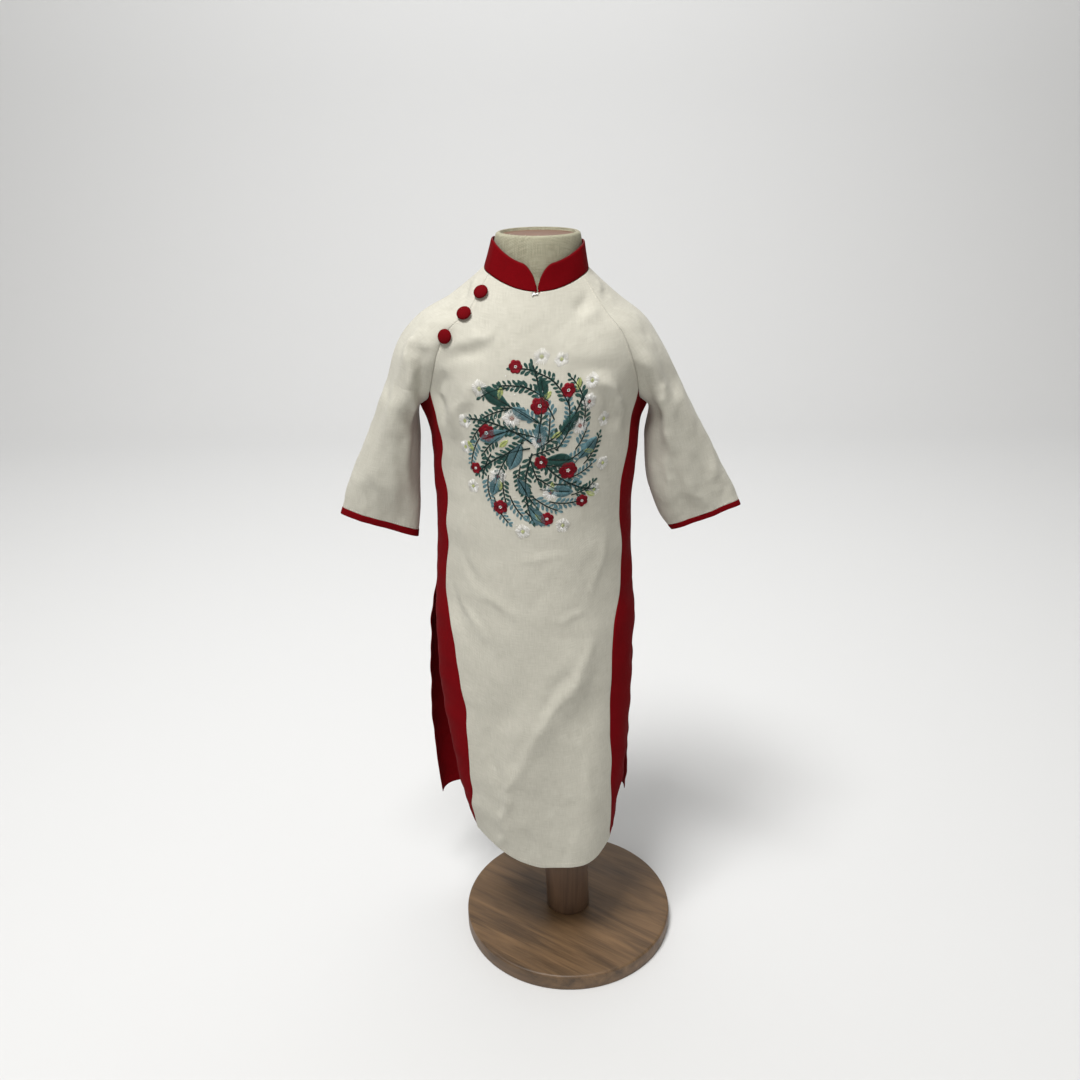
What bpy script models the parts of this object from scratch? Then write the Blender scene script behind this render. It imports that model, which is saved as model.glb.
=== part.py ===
"""Child's ao dai on a limbless dress form, as closed solids.

Millimetres throughout; +X is the wearer's left, -Y the front, +Z up. The origin lies
under the middle of the stand's base. Every cloth piece is one wall of cloth, worked out
from short tables: each row is a section, `down` millimetres below the neckline.
"""

import math

import bpy
import numpy as np

MM = 0.001
CLOTH = 1.2
COLLAR_CLOTH = 2.0
GAP = 0.3
UNDERARM = 104.0
GUSSET = 122.0
VENT = 315.0
HEM = 646.5
CUFF = 256.0
BINDING = 8.0
COLLAR_HEIGHT_RIGHT = 28.5
COLLAR_HEIGHT_LEFT = 26.0
COLLAR_FRONT_HEIGHT = 23.5
COLLAR_END = 1.5
COLLAR_LEAN = 0.10
COLLAR_LEAN_RIGHT = 0.30
COLLAR_LEAN_LEFT = 0.16
COLLAR_ROUND = 16.0
BUTTON_RADIUS = 7.1
BUTTON_HEIGHT = 5.9
BUTTON_CLEAR = 0.3
HOOK_LENGTH = 6.0
HOOK_RADIUS = 0.7
BUTTON_SEATS = ((12.2, 0.4), (31.5, 0.02), (60.0, 0.12))
BACK_LEVEL = -0.2
HEM_CURVE_RIGHT = 1.7
HEM_CURVE_LEFT = 4.5
SEAM_PART = 0.12
BASE_RADIUS = 126.5
BASE_HEIGHT = 20.0
BASE_X = 33.0
FORM_BOTTOM = 392.0
NECK_TOP = 839.0
CAP_RADIUS = 33.4
CAP_OVAL = 3.0
CAP_HEIGHT = 5.0
CAP_SINK = 2.5

YOKE_ROWS = 9
GUSSET_ROWS = 4
BODY_ROWS = 13
FLAP_ROWS = 15
SLEEVE_ROWS = 9
PANEL_COLUMNS = 15
STRIP_COLUMNS = 4
SLEEVE_COLUMNS = 21
ROUND_COLUMNS = 28


def table(columns, *lines):
    """Return the rows as a dictionary of named columns."""
    values = np.array(lines, dtype=float)
    return {name: values[:, i] for i, name in enumerate(columns.split())}


# Sleeve sections: outermost point, half width, wrap of the cloth round it (degrees),
# half depth to front and back, rise towards the back, and drop towards the body.
SLEEVE_RIGHT = table(
    "down  out_x  out_z  half  wrap  front  back  rise  drop",
    (0.0, 48.5, 806.5, 11.0, 60.0, 30.0, 27.7, 0.05, 0.30),
    (26.0, 80.0, 781.0, 26.0, 72.0, 48.4, 44.0, 0.17, 0.00),
    (52.0, 114.5, 761.0, 40.5, 82.0, 54.5, 54.0, 0.09, -0.06),
    (78.0, 138.0, 732.0, 36.0, 102.0, 54.0, 53.0, 0.055, 0.00),
    (104.0, 149.5, 699.0, 29.0, 125.0, 44.0, 44.0, 0.0, 0.14),
    (122.0, 156.0, 682.0, 18.8, 180.0, 42.5, 42.5, 0.0, 0.35),
    (150.0, 168.0, 650.0, 24.0, 180.0, 38.0, 38.0, 0.0, 0.32),
    (195.0, 187.5, 606.0, 32.4, 180.0, 29.0, 31.0, 0.0, 0.30),
    (225.0, 199.0, 579.0, 37.4, 180.0, 20.0, 27.0, -0.12, 0.33),
    (258.0, 210.0, 548.0, 40.7, 180.0, 13.0, 23.0, -0.25, 0.34),
)
SLEEVE_LEFT = table(
    "down  out_x  out_z  half  wrap  front  back  rise  drop",
    (0.0, 53.8, 804.5, 11.0, 60.0, 30.0, 27.7, 0.05, 0.30),
    (26.0, 82.5, 779.0, 21.0, 72.0, 47.4, 44.0, 0.17, 0.00),
    (52.0, 110.0, 757.0, 32.0, 82.0, 53.5, 54.0, 0.09, -0.06),
    (78.0, 129.0, 729.0, 29.0, 102.0, 54.0, 53.0, 0.055, 0.00),
    (104.0, 144.0, 698.0, 26.7, 125.0, 44.0, 44.0, 0.0, 0.14),
    (122.0, 152.5, 681.0, 18.8, 180.0, 42.5, 42.5, 0.0, 0.35),
    (150.0, 168.5, 650.5, 28.0, 180.0, 36.0, 36.0, 0.0, 0.32),
    (195.0, 193.5, 604.0, 37.5, 180.0, 26.0, 27.0, 0.0, 0.34),
    (225.0, 207.5, 578.0, 39.0, 180.0, 19.0, 26.0, -0.15, 0.37),
    (258.0, 218.0, 553.0, 36.0, 180.0, 14.0, 27.0, -0.32, 0.385),
)
# Body above the vents: the side seams.
SIDES = table(
    "down  right_x  left_x  side_y  side_z",
    (104.0, -116.4, 114.9, 0.0, 669.0),
    (128.0, -110.5, 108.0, 0.0, 651.0),
    (154.0, -107.5, 106.3, 0.0, 632.0),
    (190.0, -106.6, 103.3, 0.0, 599.0),
    (228.0, -106.2, 100.2, 0.0, 562.0),
    (270.0, -107.4, 101.0, 0.0, 520.0),
    (315.0, -110.5, 103.5, 0.0, 475.0),
)
# Flaps below the vents: their free side edges.
FRONT_EDGES = table(
    "down  right_x  left_x  side_y  side_z",
    (353.0, -112.0, 105.0, -12.0, 437.0),
    (412.0, -111.0, 104.0, -19.0, 378.0),
    (450.0, -108.0, 102.5, -22.0, 340.0),
    (519.0, -98.5, 99.0, -25.0, 271.0),
    (590.0, -86.0, 89.5, -26.0, 200.0),
    (646.5, -76.0, 84.0, -26.0, 143.5),
)
BACK_EDGES = table(
    "down  right_x  left_x  side_y  side_z",
    (353.0, -118.0, 107.5, 12.0, 437.0),
    (412.0, -124.5, 108.5, 21.0, 378.0),
    (450.0, -127.0, 108.0, 28.0, 340.0),
    (519.0, -129.5, 107.5, 37.0, 271.0),
    (590.0, -127.0, 107.5, 45.0, 200.0),
    (646.5, -123.5, 107.0, 50.0, 143.5),
)
# Cream panels: middle line, side-strip seams, how square the section is, and how far
# each half stays flat before it turns towards its seam. Seam columns count from the
# underarm down; above it the raglan seams bound the panel.
FRONT = table(
    "down mid_x mid_y mid_z right_x left_x square bow_right bow_left rise_right rise_left",
    (0.0, 4.0, -50.0, 790.0, -43.0, 50.0, 2.0, 2.2, 2.2, 0.0, 0.0),
    (26.0, 3.0, -62.0, 764.0, -62.0, 68.0, 2.0, 2.4, 2.4, 0.0, 0.0),
    (52.0, 2.0, -72.5, 738.0, -79.0, 82.0, 2.0, 2.6, 2.6, 0.0, 0.0),
    (78.0, 0.0, -80.0, 712.0, -94.0, 93.0, 2.0, 2.8, 2.8, 0.0, 0.0),
    (104.0, -1.0, -84.0, 686.0, -104.0, 102.0, 2.0, 2.7, 2.7, 0.0, 0.0),
    (128.0, -2.0, -85.0, 662.0, -97.5, 94.8, 2.0, 2.5, 2.5, 0.0, 0.0),
    (154.0, -2.0, -84.0, 636.0, -93.4, 91.5, 2.0, 2.4, 2.4, 0.0, 0.0),
    (175.0, -3.0, -83.0, 615.0, -96.0, 88.8, 2.0, 2.4, 2.4, 0.0, 0.0),
    (203.0, -3.0, -82.2, 587.0, -91.6, 86.0, 2.0, 2.4, 2.4, 0.0, 0.0),
    (228.0, -3.0, -82.0, 562.0, -92.0, 85.4, 2.0, 2.4, 2.4, 0.0, 0.0),
    (270.0, -3.0, -84.0, 520.0, -94.0, 88.0, 2.0, 2.4, 2.4, 0.0, 0.0),
    (315.0, -3.0, -86.0, 475.0, -97.5, 86.5, 2.0, 2.4, 2.4, 0.0, 0.0),
    (353.0, -2.0, -87.5, 437.0, -91.8, 81.0, 2.0, 2.4, 2.6, 0.0, 0.0),
    (412.0, 0.0, -88.0, 378.0, -84.5, 77.5, 2.1, 2.3, 3.0, 0.0, 0.0),
    (450.0, 3.0, -88.0, 340.0, -80.0, 76.5, 2.2, 2.2, 3.2, 0.0, 0.0),
    (519.0, 10.0, -88.0, 271.0, -78.0, 79.5, 2.5, 2.2, 3.4, 0.0, 0.0),
    (590.0, 14.0, -87.0, 200.0, -76.5, 80.5, 2.9, 2.2, 3.6, 12.0, 6.0),
    (646.5, 16.0, -86.0, 143.5, -72.0, 80.0, 3.1, 2.2, 3.6, 40.0, 28.0),
)
BACK = table(
    "down mid_x mid_y mid_z right_x left_x square bow_right bow_left rise_right rise_left",
    (0.0, 4.0, 42.0, 802.0, -40.0, 47.0, 2.0, 2.2, 2.2, 0.0, 0.0),
    (26.0, 3.0, 56.0, 780.0, -60.0, 66.0, 2.0, 2.4, 2.4, 0.0, 0.0),
    (52.0, 2.0, 68.0, 754.5, -80.0, 82.0, 2.0, 2.6, 2.6, 0.0, 0.0),
    (78.0, 0.0, 75.0, 723.0, -95.0, 93.0, 2.0, 2.8, 2.8, 0.0, 0.0),
    (104.0, -1.0, 78.0, 688.0, -104.0, 102.0, 2.0, 2.7, 2.7, 0.0, 0.0),
    (128.0, -2.0, 78.5, 662.0, -98.0, 95.5, 2.0, 2.5, 2.5, 0.0, 0.0),
    (154.0, -2.0, 77.5, 636.0, -95.0, 93.5, 2.0, 2.4, 2.4, 0.0, 0.0),
    (190.0, -3.0, 74.5, 600.0, -94.0, 90.5, 2.0, 2.4, 2.4, 0.0, 0.0),
    (228.0, -3.0, 73.0, 562.0, -93.0, 87.5, 2.0, 2.4, 2.4, 0.0, 0.0),
    (270.0, -3.0, 76.0, 520.0, -94.0, 88.5, 2.0, 2.4, 2.4, 0.0, 0.0),
    (315.0, -3.0, 80.0, 475.0, -97.0, 90.5, 2.0, 2.4, 2.4, 0.0, 0.0),
    (353.0, -4.0, 82.5, 437.0, -99.0, 90.0, 2.0, 2.5, 2.5, 0.0, 0.0),
    (412.0, -6.0, 84.5, 378.0, -101.0, 88.0, 2.2, 2.7, 2.7, 0.0, 0.0),
    (450.0, -8.0, 85.0, 340.0, -102.0, 86.5, 2.4, 2.8, 2.8, 0.0, 0.0),
    (519.0, -9.0, 85.0, 271.0, -102.0, 85.0, 2.6, 3.0, 3.0, 0.0, 0.0),
    (590.0, -9.0, 84.0, 200.0, -100.0, 84.0, 2.8, 3.0, 3.0, 2.0, 2.0),
    (646.5, -8.0, 83.0, 147.0, -96.5, 83.0, 2.9, 3.0, 3.0, 8.0, 10.0),
)
# Largest folds: piece, ends as (across, down), width and height; ridges are positive.
FOLDS = table(
    "piece  across_a  down_a  across_b  down_b  width  height",
    (0, 0.68, 352.0, 0.48, 401.0, 24.0, 3.5),
    (0, 0.48, 401.0, -0.06, 456.0, 25.0, 4.0),
    (0, -0.06, 456.0, -0.50, 528.0, 25.0, 4.0),
    (0, -0.50, 528.0, -0.56, 610.0, 24.0, 3.5),
    (0, 0.58, 82.0, 0.80, 110.0, 12.0, 2.5),
    (0, 0.80, 110.0, 0.90, 135.0, 12.0, 2.0),
    (0, -0.70, 96.0, -0.92, 140.0, 13.0, 2.5),
    (0, 0.42, 72.0, 0.86, 80.0, 13.0, -2.0),
    (1, -0.55, 340.0, -0.30, 620.0, 26.0, 4.0),
    (1, 0.45, 330.0, 0.60, 630.0, 26.0, -4.0),
    (1, 0.70, 110.0, 0.25, 200.0, 20.0, 2.0),
    (2, -0.50, 62.0, -0.62, 116.0, 11.0, 3.5),
    (2, -0.62, 116.0, -0.64, 215.0, 14.0, 2.0),
    (2, -0.75, 72.0, -0.79, 90.0, 9.0, -5.0),
    (2, 0.50, 90.0, 0.60, 230.0, 13.0, -3.0),
    (3, -0.84, 70.0, -0.58, 108.0, 11.0, 3.5),
    (3, -0.58, 108.0, -0.56, 145.0, 12.0, 2.5),
    (3, -0.42, 70.0, -0.34, 130.0, 14.0, -3.0),
    (3, 0.50, 90.0, 0.42, 230.0, 13.0, -3.0),
)
PIECES = {"front": 0, "back": 1, "sleeve_right": 2, "sleeve_left": 3}

# Dress form: centre, half width, front and back.
FORM = table(
    "z  mid_x  half  front  back",
    (404.0, 16.8, 77.0, -70.0, 62.0),
    (440.0, 15.6, 81.0, -74.0, 66.0),
    (480.0, 14.2, 82.5, -74.0, 65.0),
    (530.0, 12.6, 82.0, -71.5, 62.0),
    (570.0, 11.2, 83.0, -72.0, 61.0),
    (620.0, 8.8, 89.5, -78.0, 71.0),
    (665.0, 6.2, 94.0, -80.0, 74.0),
    (705.0, 4.4, 97.0, -74.0, 72.0),
    (735.0, 3.5, 99.0, -66.5, 64.0),
    (752.0, 3.3, 96.0, -61.0, 58.5),
    (764.0, 3.3, 90.3, -55.5, 54.5),
    (774.0, 3.4, 81.0, -51.0, 50.5),
    (784.0, 3.8, 68.0, -46.5, 46.5),
    (794.0, 4.6, 52.5, -42.5, 42.5),
    (804.0, 4.8, 45.4, -41.0, 37.0),
    (818.0, 4.6, 43.4, -41.0, 35.6),
    (831.0, 4.6, 42.2, -41.0, 36.0),
    (837.5, 4.8, 40.8, -40.0, 35.4),
    (839.0, 5.0, 38.8, -38.6, 34.6),
)


def smooth(rows, column, at, key="down"):
    """Read a column at any section along a curve that never overshoots its rows."""
    x, y = rows[key], rows[column]
    at = np.clip(np.asarray(at, dtype=float), x[0], x[-1])
    rate = np.diff(y) / np.diff(x)
    before, after = rate[:-1], rate[1:]
    turning = before * after <= 0
    total = np.where(turning, 1.0, before + after)
    inner = np.where(turning, 0.0, 2 * before * after / total)
    slope = np.concatenate((rate[:1], inner, rate[-1:]))
    i = np.clip(np.searchsorted(x, at, side="right") - 1, 0, len(x) - 2)
    step = x[i + 1] - x[i]
    t = (at - x[i]) / step
    start = (1 + 2 * t) * (1 - t) ** 2 * y[i] + t * (1 - t) ** 2 * step * slope[i]
    end = t * t * (3 - 2 * t) * y[i + 1] + t * t * (t - 1) * step * slope[i + 1]
    return start + end


def join(first, second):
    """Return one table from two with the same columns."""
    return {name: np.concatenate((first[name], second[name])) for name in first}


def unit(vectors):
    """Return the vectors at length one."""
    length = np.linalg.norm(vectors, axis=-1, keepdims=True)
    return vectors / np.maximum(length, 1e-9)


def sleeve_points(rows, side, down, across):
    """Points of a sleeve: `across` runs -1 at the front seam, 0 outermost, 1 at the back."""
    down, across = np.meshgrid(down, across, indexing="ij")
    half = smooth(rows, "half", down)
    angle = np.radians(smooth(rows, "wrap", down)) * across
    angle = np.clip(angle, -math.pi, math.pi)
    depth = np.where(across < 0, smooth(rows, "front", down), smooth(rows, "back", down))
    inward = half * (1 - np.cos(angle))
    y = depth * np.sin(angle)
    z = smooth(rows, "out_z", down) + smooth(rows, "rise", down) * np.where(y < 0, y, BACK_LEVEL * y)
    z = z - smooth(rows, "drop", down) * inward
    return np.stack((side * (smooth(rows, "out_x", down) - inward), y, z), axis=-1)


def seam(panel, edges, down, side):
    """Points of a side-strip seam, on the oval of the body section, below the underarm."""
    x = smooth(panel, "left_x" if side > 0 else "right_x", down)
    return np.stack((x, oval_y(panel, edges, down, x), smooth(panel, "mid_z", down)), -1)


def oval(edges, down):
    """Return the middle and the half width of a body section."""
    left, right = smooth(edges, "left_x", down), smooth(edges, "right_x", down)
    return (left + right) / 2, (left - right) / 2


def oval_y(panel, edges, down, x):
    """Return how far front or back the body section lies at x."""
    middle, half = oval(edges, down)
    power = smooth(panel, "square", down)
    share = np.clip(np.abs(x - middle) / half, 0, 1)
    side_y = smooth(edges, "side_y", down)
    return side_y + (smooth(panel, "mid_y", down) - side_y) * (1 - share**power) ** (1 / power)


def hem_rise(panel, edges, down, x):
    """Return how far the cloth lies above its level row at x, near the rounded hem."""
    middle, half = oval(edges, np.maximum(down, UNDERARM))
    share = np.clip(np.abs(x - middle) / half, 0, 1)
    right = smooth(panel, "rise_right", down) * share**HEM_CURVE_RIGHT
    left = smooth(panel, "rise_left", down) * share**HEM_CURVE_LEFT
    return np.where(x < middle, right, left)


def panel_points(panel, edges, seams, down, across):
    """Points of a cream panel between its two seams, given as rows of points."""
    rows = []
    for k, row_down in enumerate(down):
        right, left = seams[0][k], seams[1][k]
        middle = np.array([smooth(panel, name, row_down) for name in ("mid_x", "mid_y", "mid_z")])
        end = np.where(across[:, None] < 0, right, left)
        share = np.abs(across)
        bow = np.where(
            across < 0, smooth(panel, "bow_right", row_down), smooth(panel, "bow_left", row_down)
        )
        points = np.empty((len(across), 3))
        points[:, 0] = middle[0] + (end[:, 0] - middle[0]) * share
        points[:, 1] = middle[1] + (end[:, 1] - middle[1]) * share**bow
        points[:, 2] = middle[2] + (end[:, 2] - middle[2]) * share**2
        rows.append(points)
    grid = np.array(rows)
    grid[..., 2] += hem_rise(panel, edges, np.asarray(down)[:, None], grid[..., 0])
    return grid


def strip_points(panel, edges, top, side, down, share):
    """Points of a side strip from its seam (share 0) to its free edge or side seam."""
    middle, half = oval(edges, down)
    power = smooth(panel, "square", down)
    start = seam(panel, edges, down, side)
    begin = np.clip(np.abs(start[:, 0] - middle) / half, 0, 1)
    angle = np.arcsin(begin ** (power / 2))[:, None]
    angle = angle + (math.pi / 2 - angle) * share[None, :]
    bend = (2 / power)[:, None]
    side_y = smooth(edges, "side_y", down)[:, None]
    x = middle[:, None] + side * half[:, None] * np.sin(angle) ** bend
    y = side_y + (smooth(panel, "mid_y", down)[:, None] - side_y) * np.abs(np.cos(angle)) ** bend
    side_z = smooth(edges, "side_z", down)[:, None]
    z = start[:, 2:3] + (side_z - start[:, 2:3]) * share[None, :]
    z = z + hem_rise(panel, edges, down[:, None], x)
    grid = np.stack((x, y, z), axis=-1)
    fade = np.clip(1 - (down - down[0]) / 60.0, 0, 1)[:, None, None] ** 2
    return grid + (top - grid[0])[None] * fade


def fold(grid, piece, outward, down, across):
    """Push the largest ridges and troughs of one piece out and in."""
    normals = facing(surface_normals(grid), outward)
    height = np.zeros(grid.shape[:2])
    for k in np.flatnonzero(FOLDS["piece"] == PIECES[piece]):
        steps = np.linspace(0, 1, 25)
        fold_across = FOLDS["across_a"][k] + (FOLDS["across_b"][k] - FOLDS["across_a"][k]) * steps
        fold_down = FOLDS["down_a"][k] + (FOLDS["down_b"][k] - FOLDS["down_a"][k]) * steps
        row = np.interp(fold_down, down, np.arange(len(down)))
        column = np.interp(fold_across, across, np.arange(len(across)))
        path = bilinear(grid, row, column)
        away = np.linalg.norm(grid[:, :, None, :] - path[None, None], axis=-1).min(axis=2)
        height += FOLDS["height"][k] * np.exp(-((away / FOLDS["width"][k]) ** 2))
    edge = np.clip(1 - np.abs(across) ** 4, 0, 1)[None, :]
    top = np.clip(np.asarray(down) / 30.0, 0, 1)[:, None]
    return grid + normals * (height * edge * top)[..., None]


def bilinear(grid, row, column):
    """Return points of a grid at fractional rows and columns."""
    i = np.clip(row.astype(int), 0, grid.shape[0] - 2)
    j = np.clip(column.astype(int), 0, grid.shape[1] - 2)
    a, b = (row - i)[:, None], (column - j)[:, None]
    upper = grid[i, j] * (1 - b) + grid[i, j + 1] * b
    lower = grid[i + 1, j] * (1 - b) + grid[i + 1, j + 1] * b
    return upper * (1 - a) + lower * a


def surface_normals(grid, closed_from=None):
    """Outward normals of a grid whose rows run down and columns run front to back."""
    down = np.gradient(grid, axis=0)
    across = np.gradient(grid, axis=1)
    if closed_from is not None:
        wrap = (grid[closed_from:, 1] - grid[closed_from:, -2]) / 2
        across[closed_from:, 0] = wrap
        across[closed_from:, -1] = wrap
    return unit(np.cross(down, across))


def facing(normals, outward):
    """Turn the normals over where the middle one points away from the outward direction."""
    middle = normals[normals.shape[0] // 2, normals.shape[1] // 2]
    return normals * (1 if middle @ np.asarray(outward, dtype=float) > 0 else -1)


class Sheet:
    """One piece of cloth: its outer points, outward normals and closed rows."""

    def __init__(self, name, grid, outward, closed_from=None):
        self.name = name
        self.grid = grid
        self.closed_from = closed_from
        self.normals = facing(surface_normals(grid, closed_from), outward)

    def trimmed(self):
        """Outer points with every free edge drawn back by half a seam gap."""
        grid = self.grid.copy()
        half = GAP / 2
        free = grid.shape[0] if self.closed_from is None else self.closed_from
        for edge, inner in ((0, 1), (-1, -2)):
            pull = unit(self.grid[:free, inner] - self.grid[:free, edge])
            grid[:free, edge] += half * pull
            pull = unit(self.grid[inner] - self.grid[edge])
            grid[edge] += half * pull
        if self.closed_from is not None:
            k = self.closed_from
            pull = unit(self.grid[k + 1, 0] - self.grid[k, 0])
            grid[k, 0] = self.grid[k, 0] + half * pull
            grid[k, -1] = grid[k, 0]
        return grid


def share(*ends, lean=(0.0, 0.0, 0.0)):
    """Give pieces the same wall direction along a shared seam."""
    total = sum(sheet.normals[index] for sheet, index in ends) + np.asarray(lean)
    for sheet, index in ends:
        sheet.normals[index] = unit(total)


def material(name, colour, roughness, metallic=0.0):
    """Return a Principled material."""
    made = bpy.data.materials.new(name)
    made.use_nodes = True
    shader = made.node_tree.nodes["Principled BSDF"]
    shader.inputs["Base Color"].default_value = (*colour, 1.0)
    shader.inputs["Roughness"].default_value = roughness
    shader.inputs["Metallic"].default_value = metallic
    made.diffuse_color = (*colour, 1.0)
    return made


def add_object(name, points, faces, look):
    """Add one closed mesh, moved so that the base's middle is the origin."""
    placed = (np.asarray(points) - (BASE_X, 0.0, 0.0)) * MM
    mesh = bpy.data.meshes.new(name)
    mesh.from_pydata(placed.tolist(), [], [tuple(int(i) for i in face) for face in faces])
    if signed_volume(placed, faces) < 0:
        mesh.flip_normals()
    mesh.materials.append(look)
    made = bpy.data.objects.new(name, mesh)
    bpy.context.scene.collection.objects.link(made)
    return made


def signed_volume(points, faces):
    """Return the volume that the faces enclose, negative when they face inward."""
    total = 0.0
    for face in faces:
        a = points[face[0]]
        for k in range(1, len(face) - 1):
            total += a @ np.cross(points[face[k]], points[face[k + 1]])
    return total / 6


def wall(name, outer, inner, look, closed_from=None):
    """Close a wall between two grids; rows from closed_from on are joined into a tube."""
    rows, columns = outer.shape[:2]
    index = np.arange(rows * columns).reshape(rows, columns)
    if closed_from is not None:
        index[closed_from:, -1] = index[closed_from:, 0]
    inside = index + rows * columns
    faces = []
    for i in range(rows - 1):
        for j in range(columns - 1):
            faces.append((index[i, j], index[i + 1, j], index[i + 1, j + 1], index[i, j + 1]))
            faces.append((inside[i, j], inside[i, j + 1], inside[i + 1, j + 1], inside[i + 1, j]))
    for j in range(columns - 1):
        faces.append((index[0, j], index[0, j + 1], inside[0, j + 1], inside[0, j]))
        faces.append((index[-1, j + 1], index[-1, j], inside[-1, j], inside[-1, j + 1]))
    free = rows - 1 if closed_from is None else closed_from
    for i in range(free):
        faces.append((index[i + 1, 0], index[i, 0], inside[i, 0], inside[i + 1, 0]))
        faces.append((index[i, -1], index[i + 1, -1], inside[i + 1, -1], inside[i, -1]))
    points = np.concatenate((outer.reshape(-1, 3), inner.reshape(-1, 3)))
    used, renumbered = np.unique(np.array(faces), return_inverse=True)
    return add_object(name, points[used], renumbered.reshape(-1, 4), look)


def sheet_object(sheet, look, thickness=CLOTH, proud=0.0):
    """Build the solid wall of one sheet."""
    outer = sheet.trimmed() + sheet.normals * proud
    inner = outer - sheet.normals * (thickness + proud)
    return wall(sheet.name, outer, inner, look, sheet.closed_from)


def stack(name, rings, look):
    """Close a stack of rings with an n-sided face at each end."""
    rings = np.asarray(rings)
    count, sides = rings.shape[:2]
    faces = [tuple(range(sides)), tuple(reversed(range((count - 1) * sides, count * sides)))]
    for i in range(count - 1):
        for j in range(sides):
            a, b = i * sides + j, i * sides + (j + 1) % sides
            faces.append((a, a + sides, b + sides, b))
    return add_object(name, rings.reshape(-1, 3), faces, look)


def ring(z, middle_x, half, front, back, sides=ROUND_COLUMNS):
    """Return one level oval ring of points."""
    angle = np.linspace(0, 2 * math.pi, sides, endpoint=False)
    depth = np.where(np.sin(angle) < 0, -front, back)
    x = middle_x + half * np.cos(angle)
    return np.stack((x, depth * np.sin(angle), np.full(sides, float(z))), axis=-1)


def round_ring(z, radius, sides=ROUND_COLUMNS, lean=True):
    """Return one level circle round the stand's axis."""
    return ring(z, axis_x(z) if lean else BASE_X, radius, -radius, radius, sides)


def axis_x(z):
    """Return where the slightly leaning axis of pole and form passes at a height."""
    foot, top = BASE_X, FORM["mid_x"][0]
    return foot + (top - foot) * (z - BASE_HEIGHT) / (FORM["z"][0] - BASE_HEIGHT)


def cloth_sheets():
    """Work out every piece of cloth as a sheet, with shared seams."""
    yoke = np.linspace(0, UNDERARM, YOKE_ROWS)
    gusset = np.linspace(UNDERARM, GUSSET, GUSSET_ROWS)
    body = np.linspace(UNDERARM, VENT, BODY_ROWS)
    lower = np.concatenate((body, np.linspace(VENT, HEM, FLAP_ROWS)[1:]))
    whole = np.concatenate((yoke, lower[1:]))
    across = np.linspace(-1, 1, PANEL_COLUMNS)
    share = np.linspace(0, 1, STRIP_COLUMNS)
    sleeve_end = CUFF - BINDING
    arm = np.linspace(GUSSET, sleeve_end, SLEEVE_ROWS)
    sleeve_down = np.concatenate((yoke, gusset[1:], arm[1:]))
    sleeve_across = np.linspace(-1, 1, SLEEVE_COLUMNS)
    crotch = YOKE_ROWS + GUSSET_ROWS - 2
    edges = {"front": join(SIDES, FRONT_EDGES), "back": join(SIDES, BACK_EDGES)}
    sheets = {}
    tops = {}
    for side_name, side, rows in (("right", -1, SLEEVE_RIGHT), ("left", 1, SLEEVE_LEFT)):
        name = f"sleeve_{side_name}"
        grid = sleeve_points(rows, side, sleeve_down, sleeve_across)
        tops["front", side] = grid[: crotch + 1, 0].copy()
        tops["back", side] = grid[: crotch + 1, -1].copy()
        folded = fold(grid, name, (side, 0, 0), sleeve_down, sleeve_across)
        for edge in (0, -1):
            folded[YOKE_ROWS: crotch + 1, edge, 0] += side * SEAM_PART
        sheets[name] = Sheet(name, folded, (side, 0, 0), crotch)
        cuff_down = np.array([sleeve_end, CUFF - BINDING / 2, CUFF])
        cuff = sleeve_points(rows, side, cuff_down, sleeve_across)
        cuff += (folded[-1] - grid[-1])[None]
        sheets[f"cuff_{side_name}"] = Sheet(f"cuff_{side_name}", cuff, (side, 0, 0), 0)
    for face, panel, outward in (("front", FRONT, (0, -1, 0)), ("back", BACK, (0, 1, 0))):
        seams = []
        for side in (-1, 1):
            low = seam(panel, edges[face], lower, side)
            low += (tops[face, side][YOKE_ROWS - 1] - low[0]) * np.clip(
                1 - (lower - UNDERARM)[:, None] / 60.0, 0, 1
            ) ** 2
            seams.append(np.concatenate((tops[face, side][:YOKE_ROWS], low[1:])))
        grid = panel_points(panel, edges[face], seams, whole, across)
        sheets[face] = Sheet(f"{face}_panel", fold(grid, face, outward, whole, across), outward)
        for side_name, side in (("right", -1), ("left", 1)):
            top = tops[face, side][YOKE_ROWS - 1:]
            strip = strip_points(panel, edges[face], top, side, lower, share)
            column = 0 if side < 0 else -1
            strip[:, 0] = sheets[face].grid[YOKE_ROWS - 1:, column]
            strip[0, 1:, 0] -= side * SEAM_PART
            name = f"side_{face}_{side_name}"
            sheets[name] = Sheet(name, strip, (side, 0, 0))
    share_seams(sheets, crotch)
    return sheets


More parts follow.
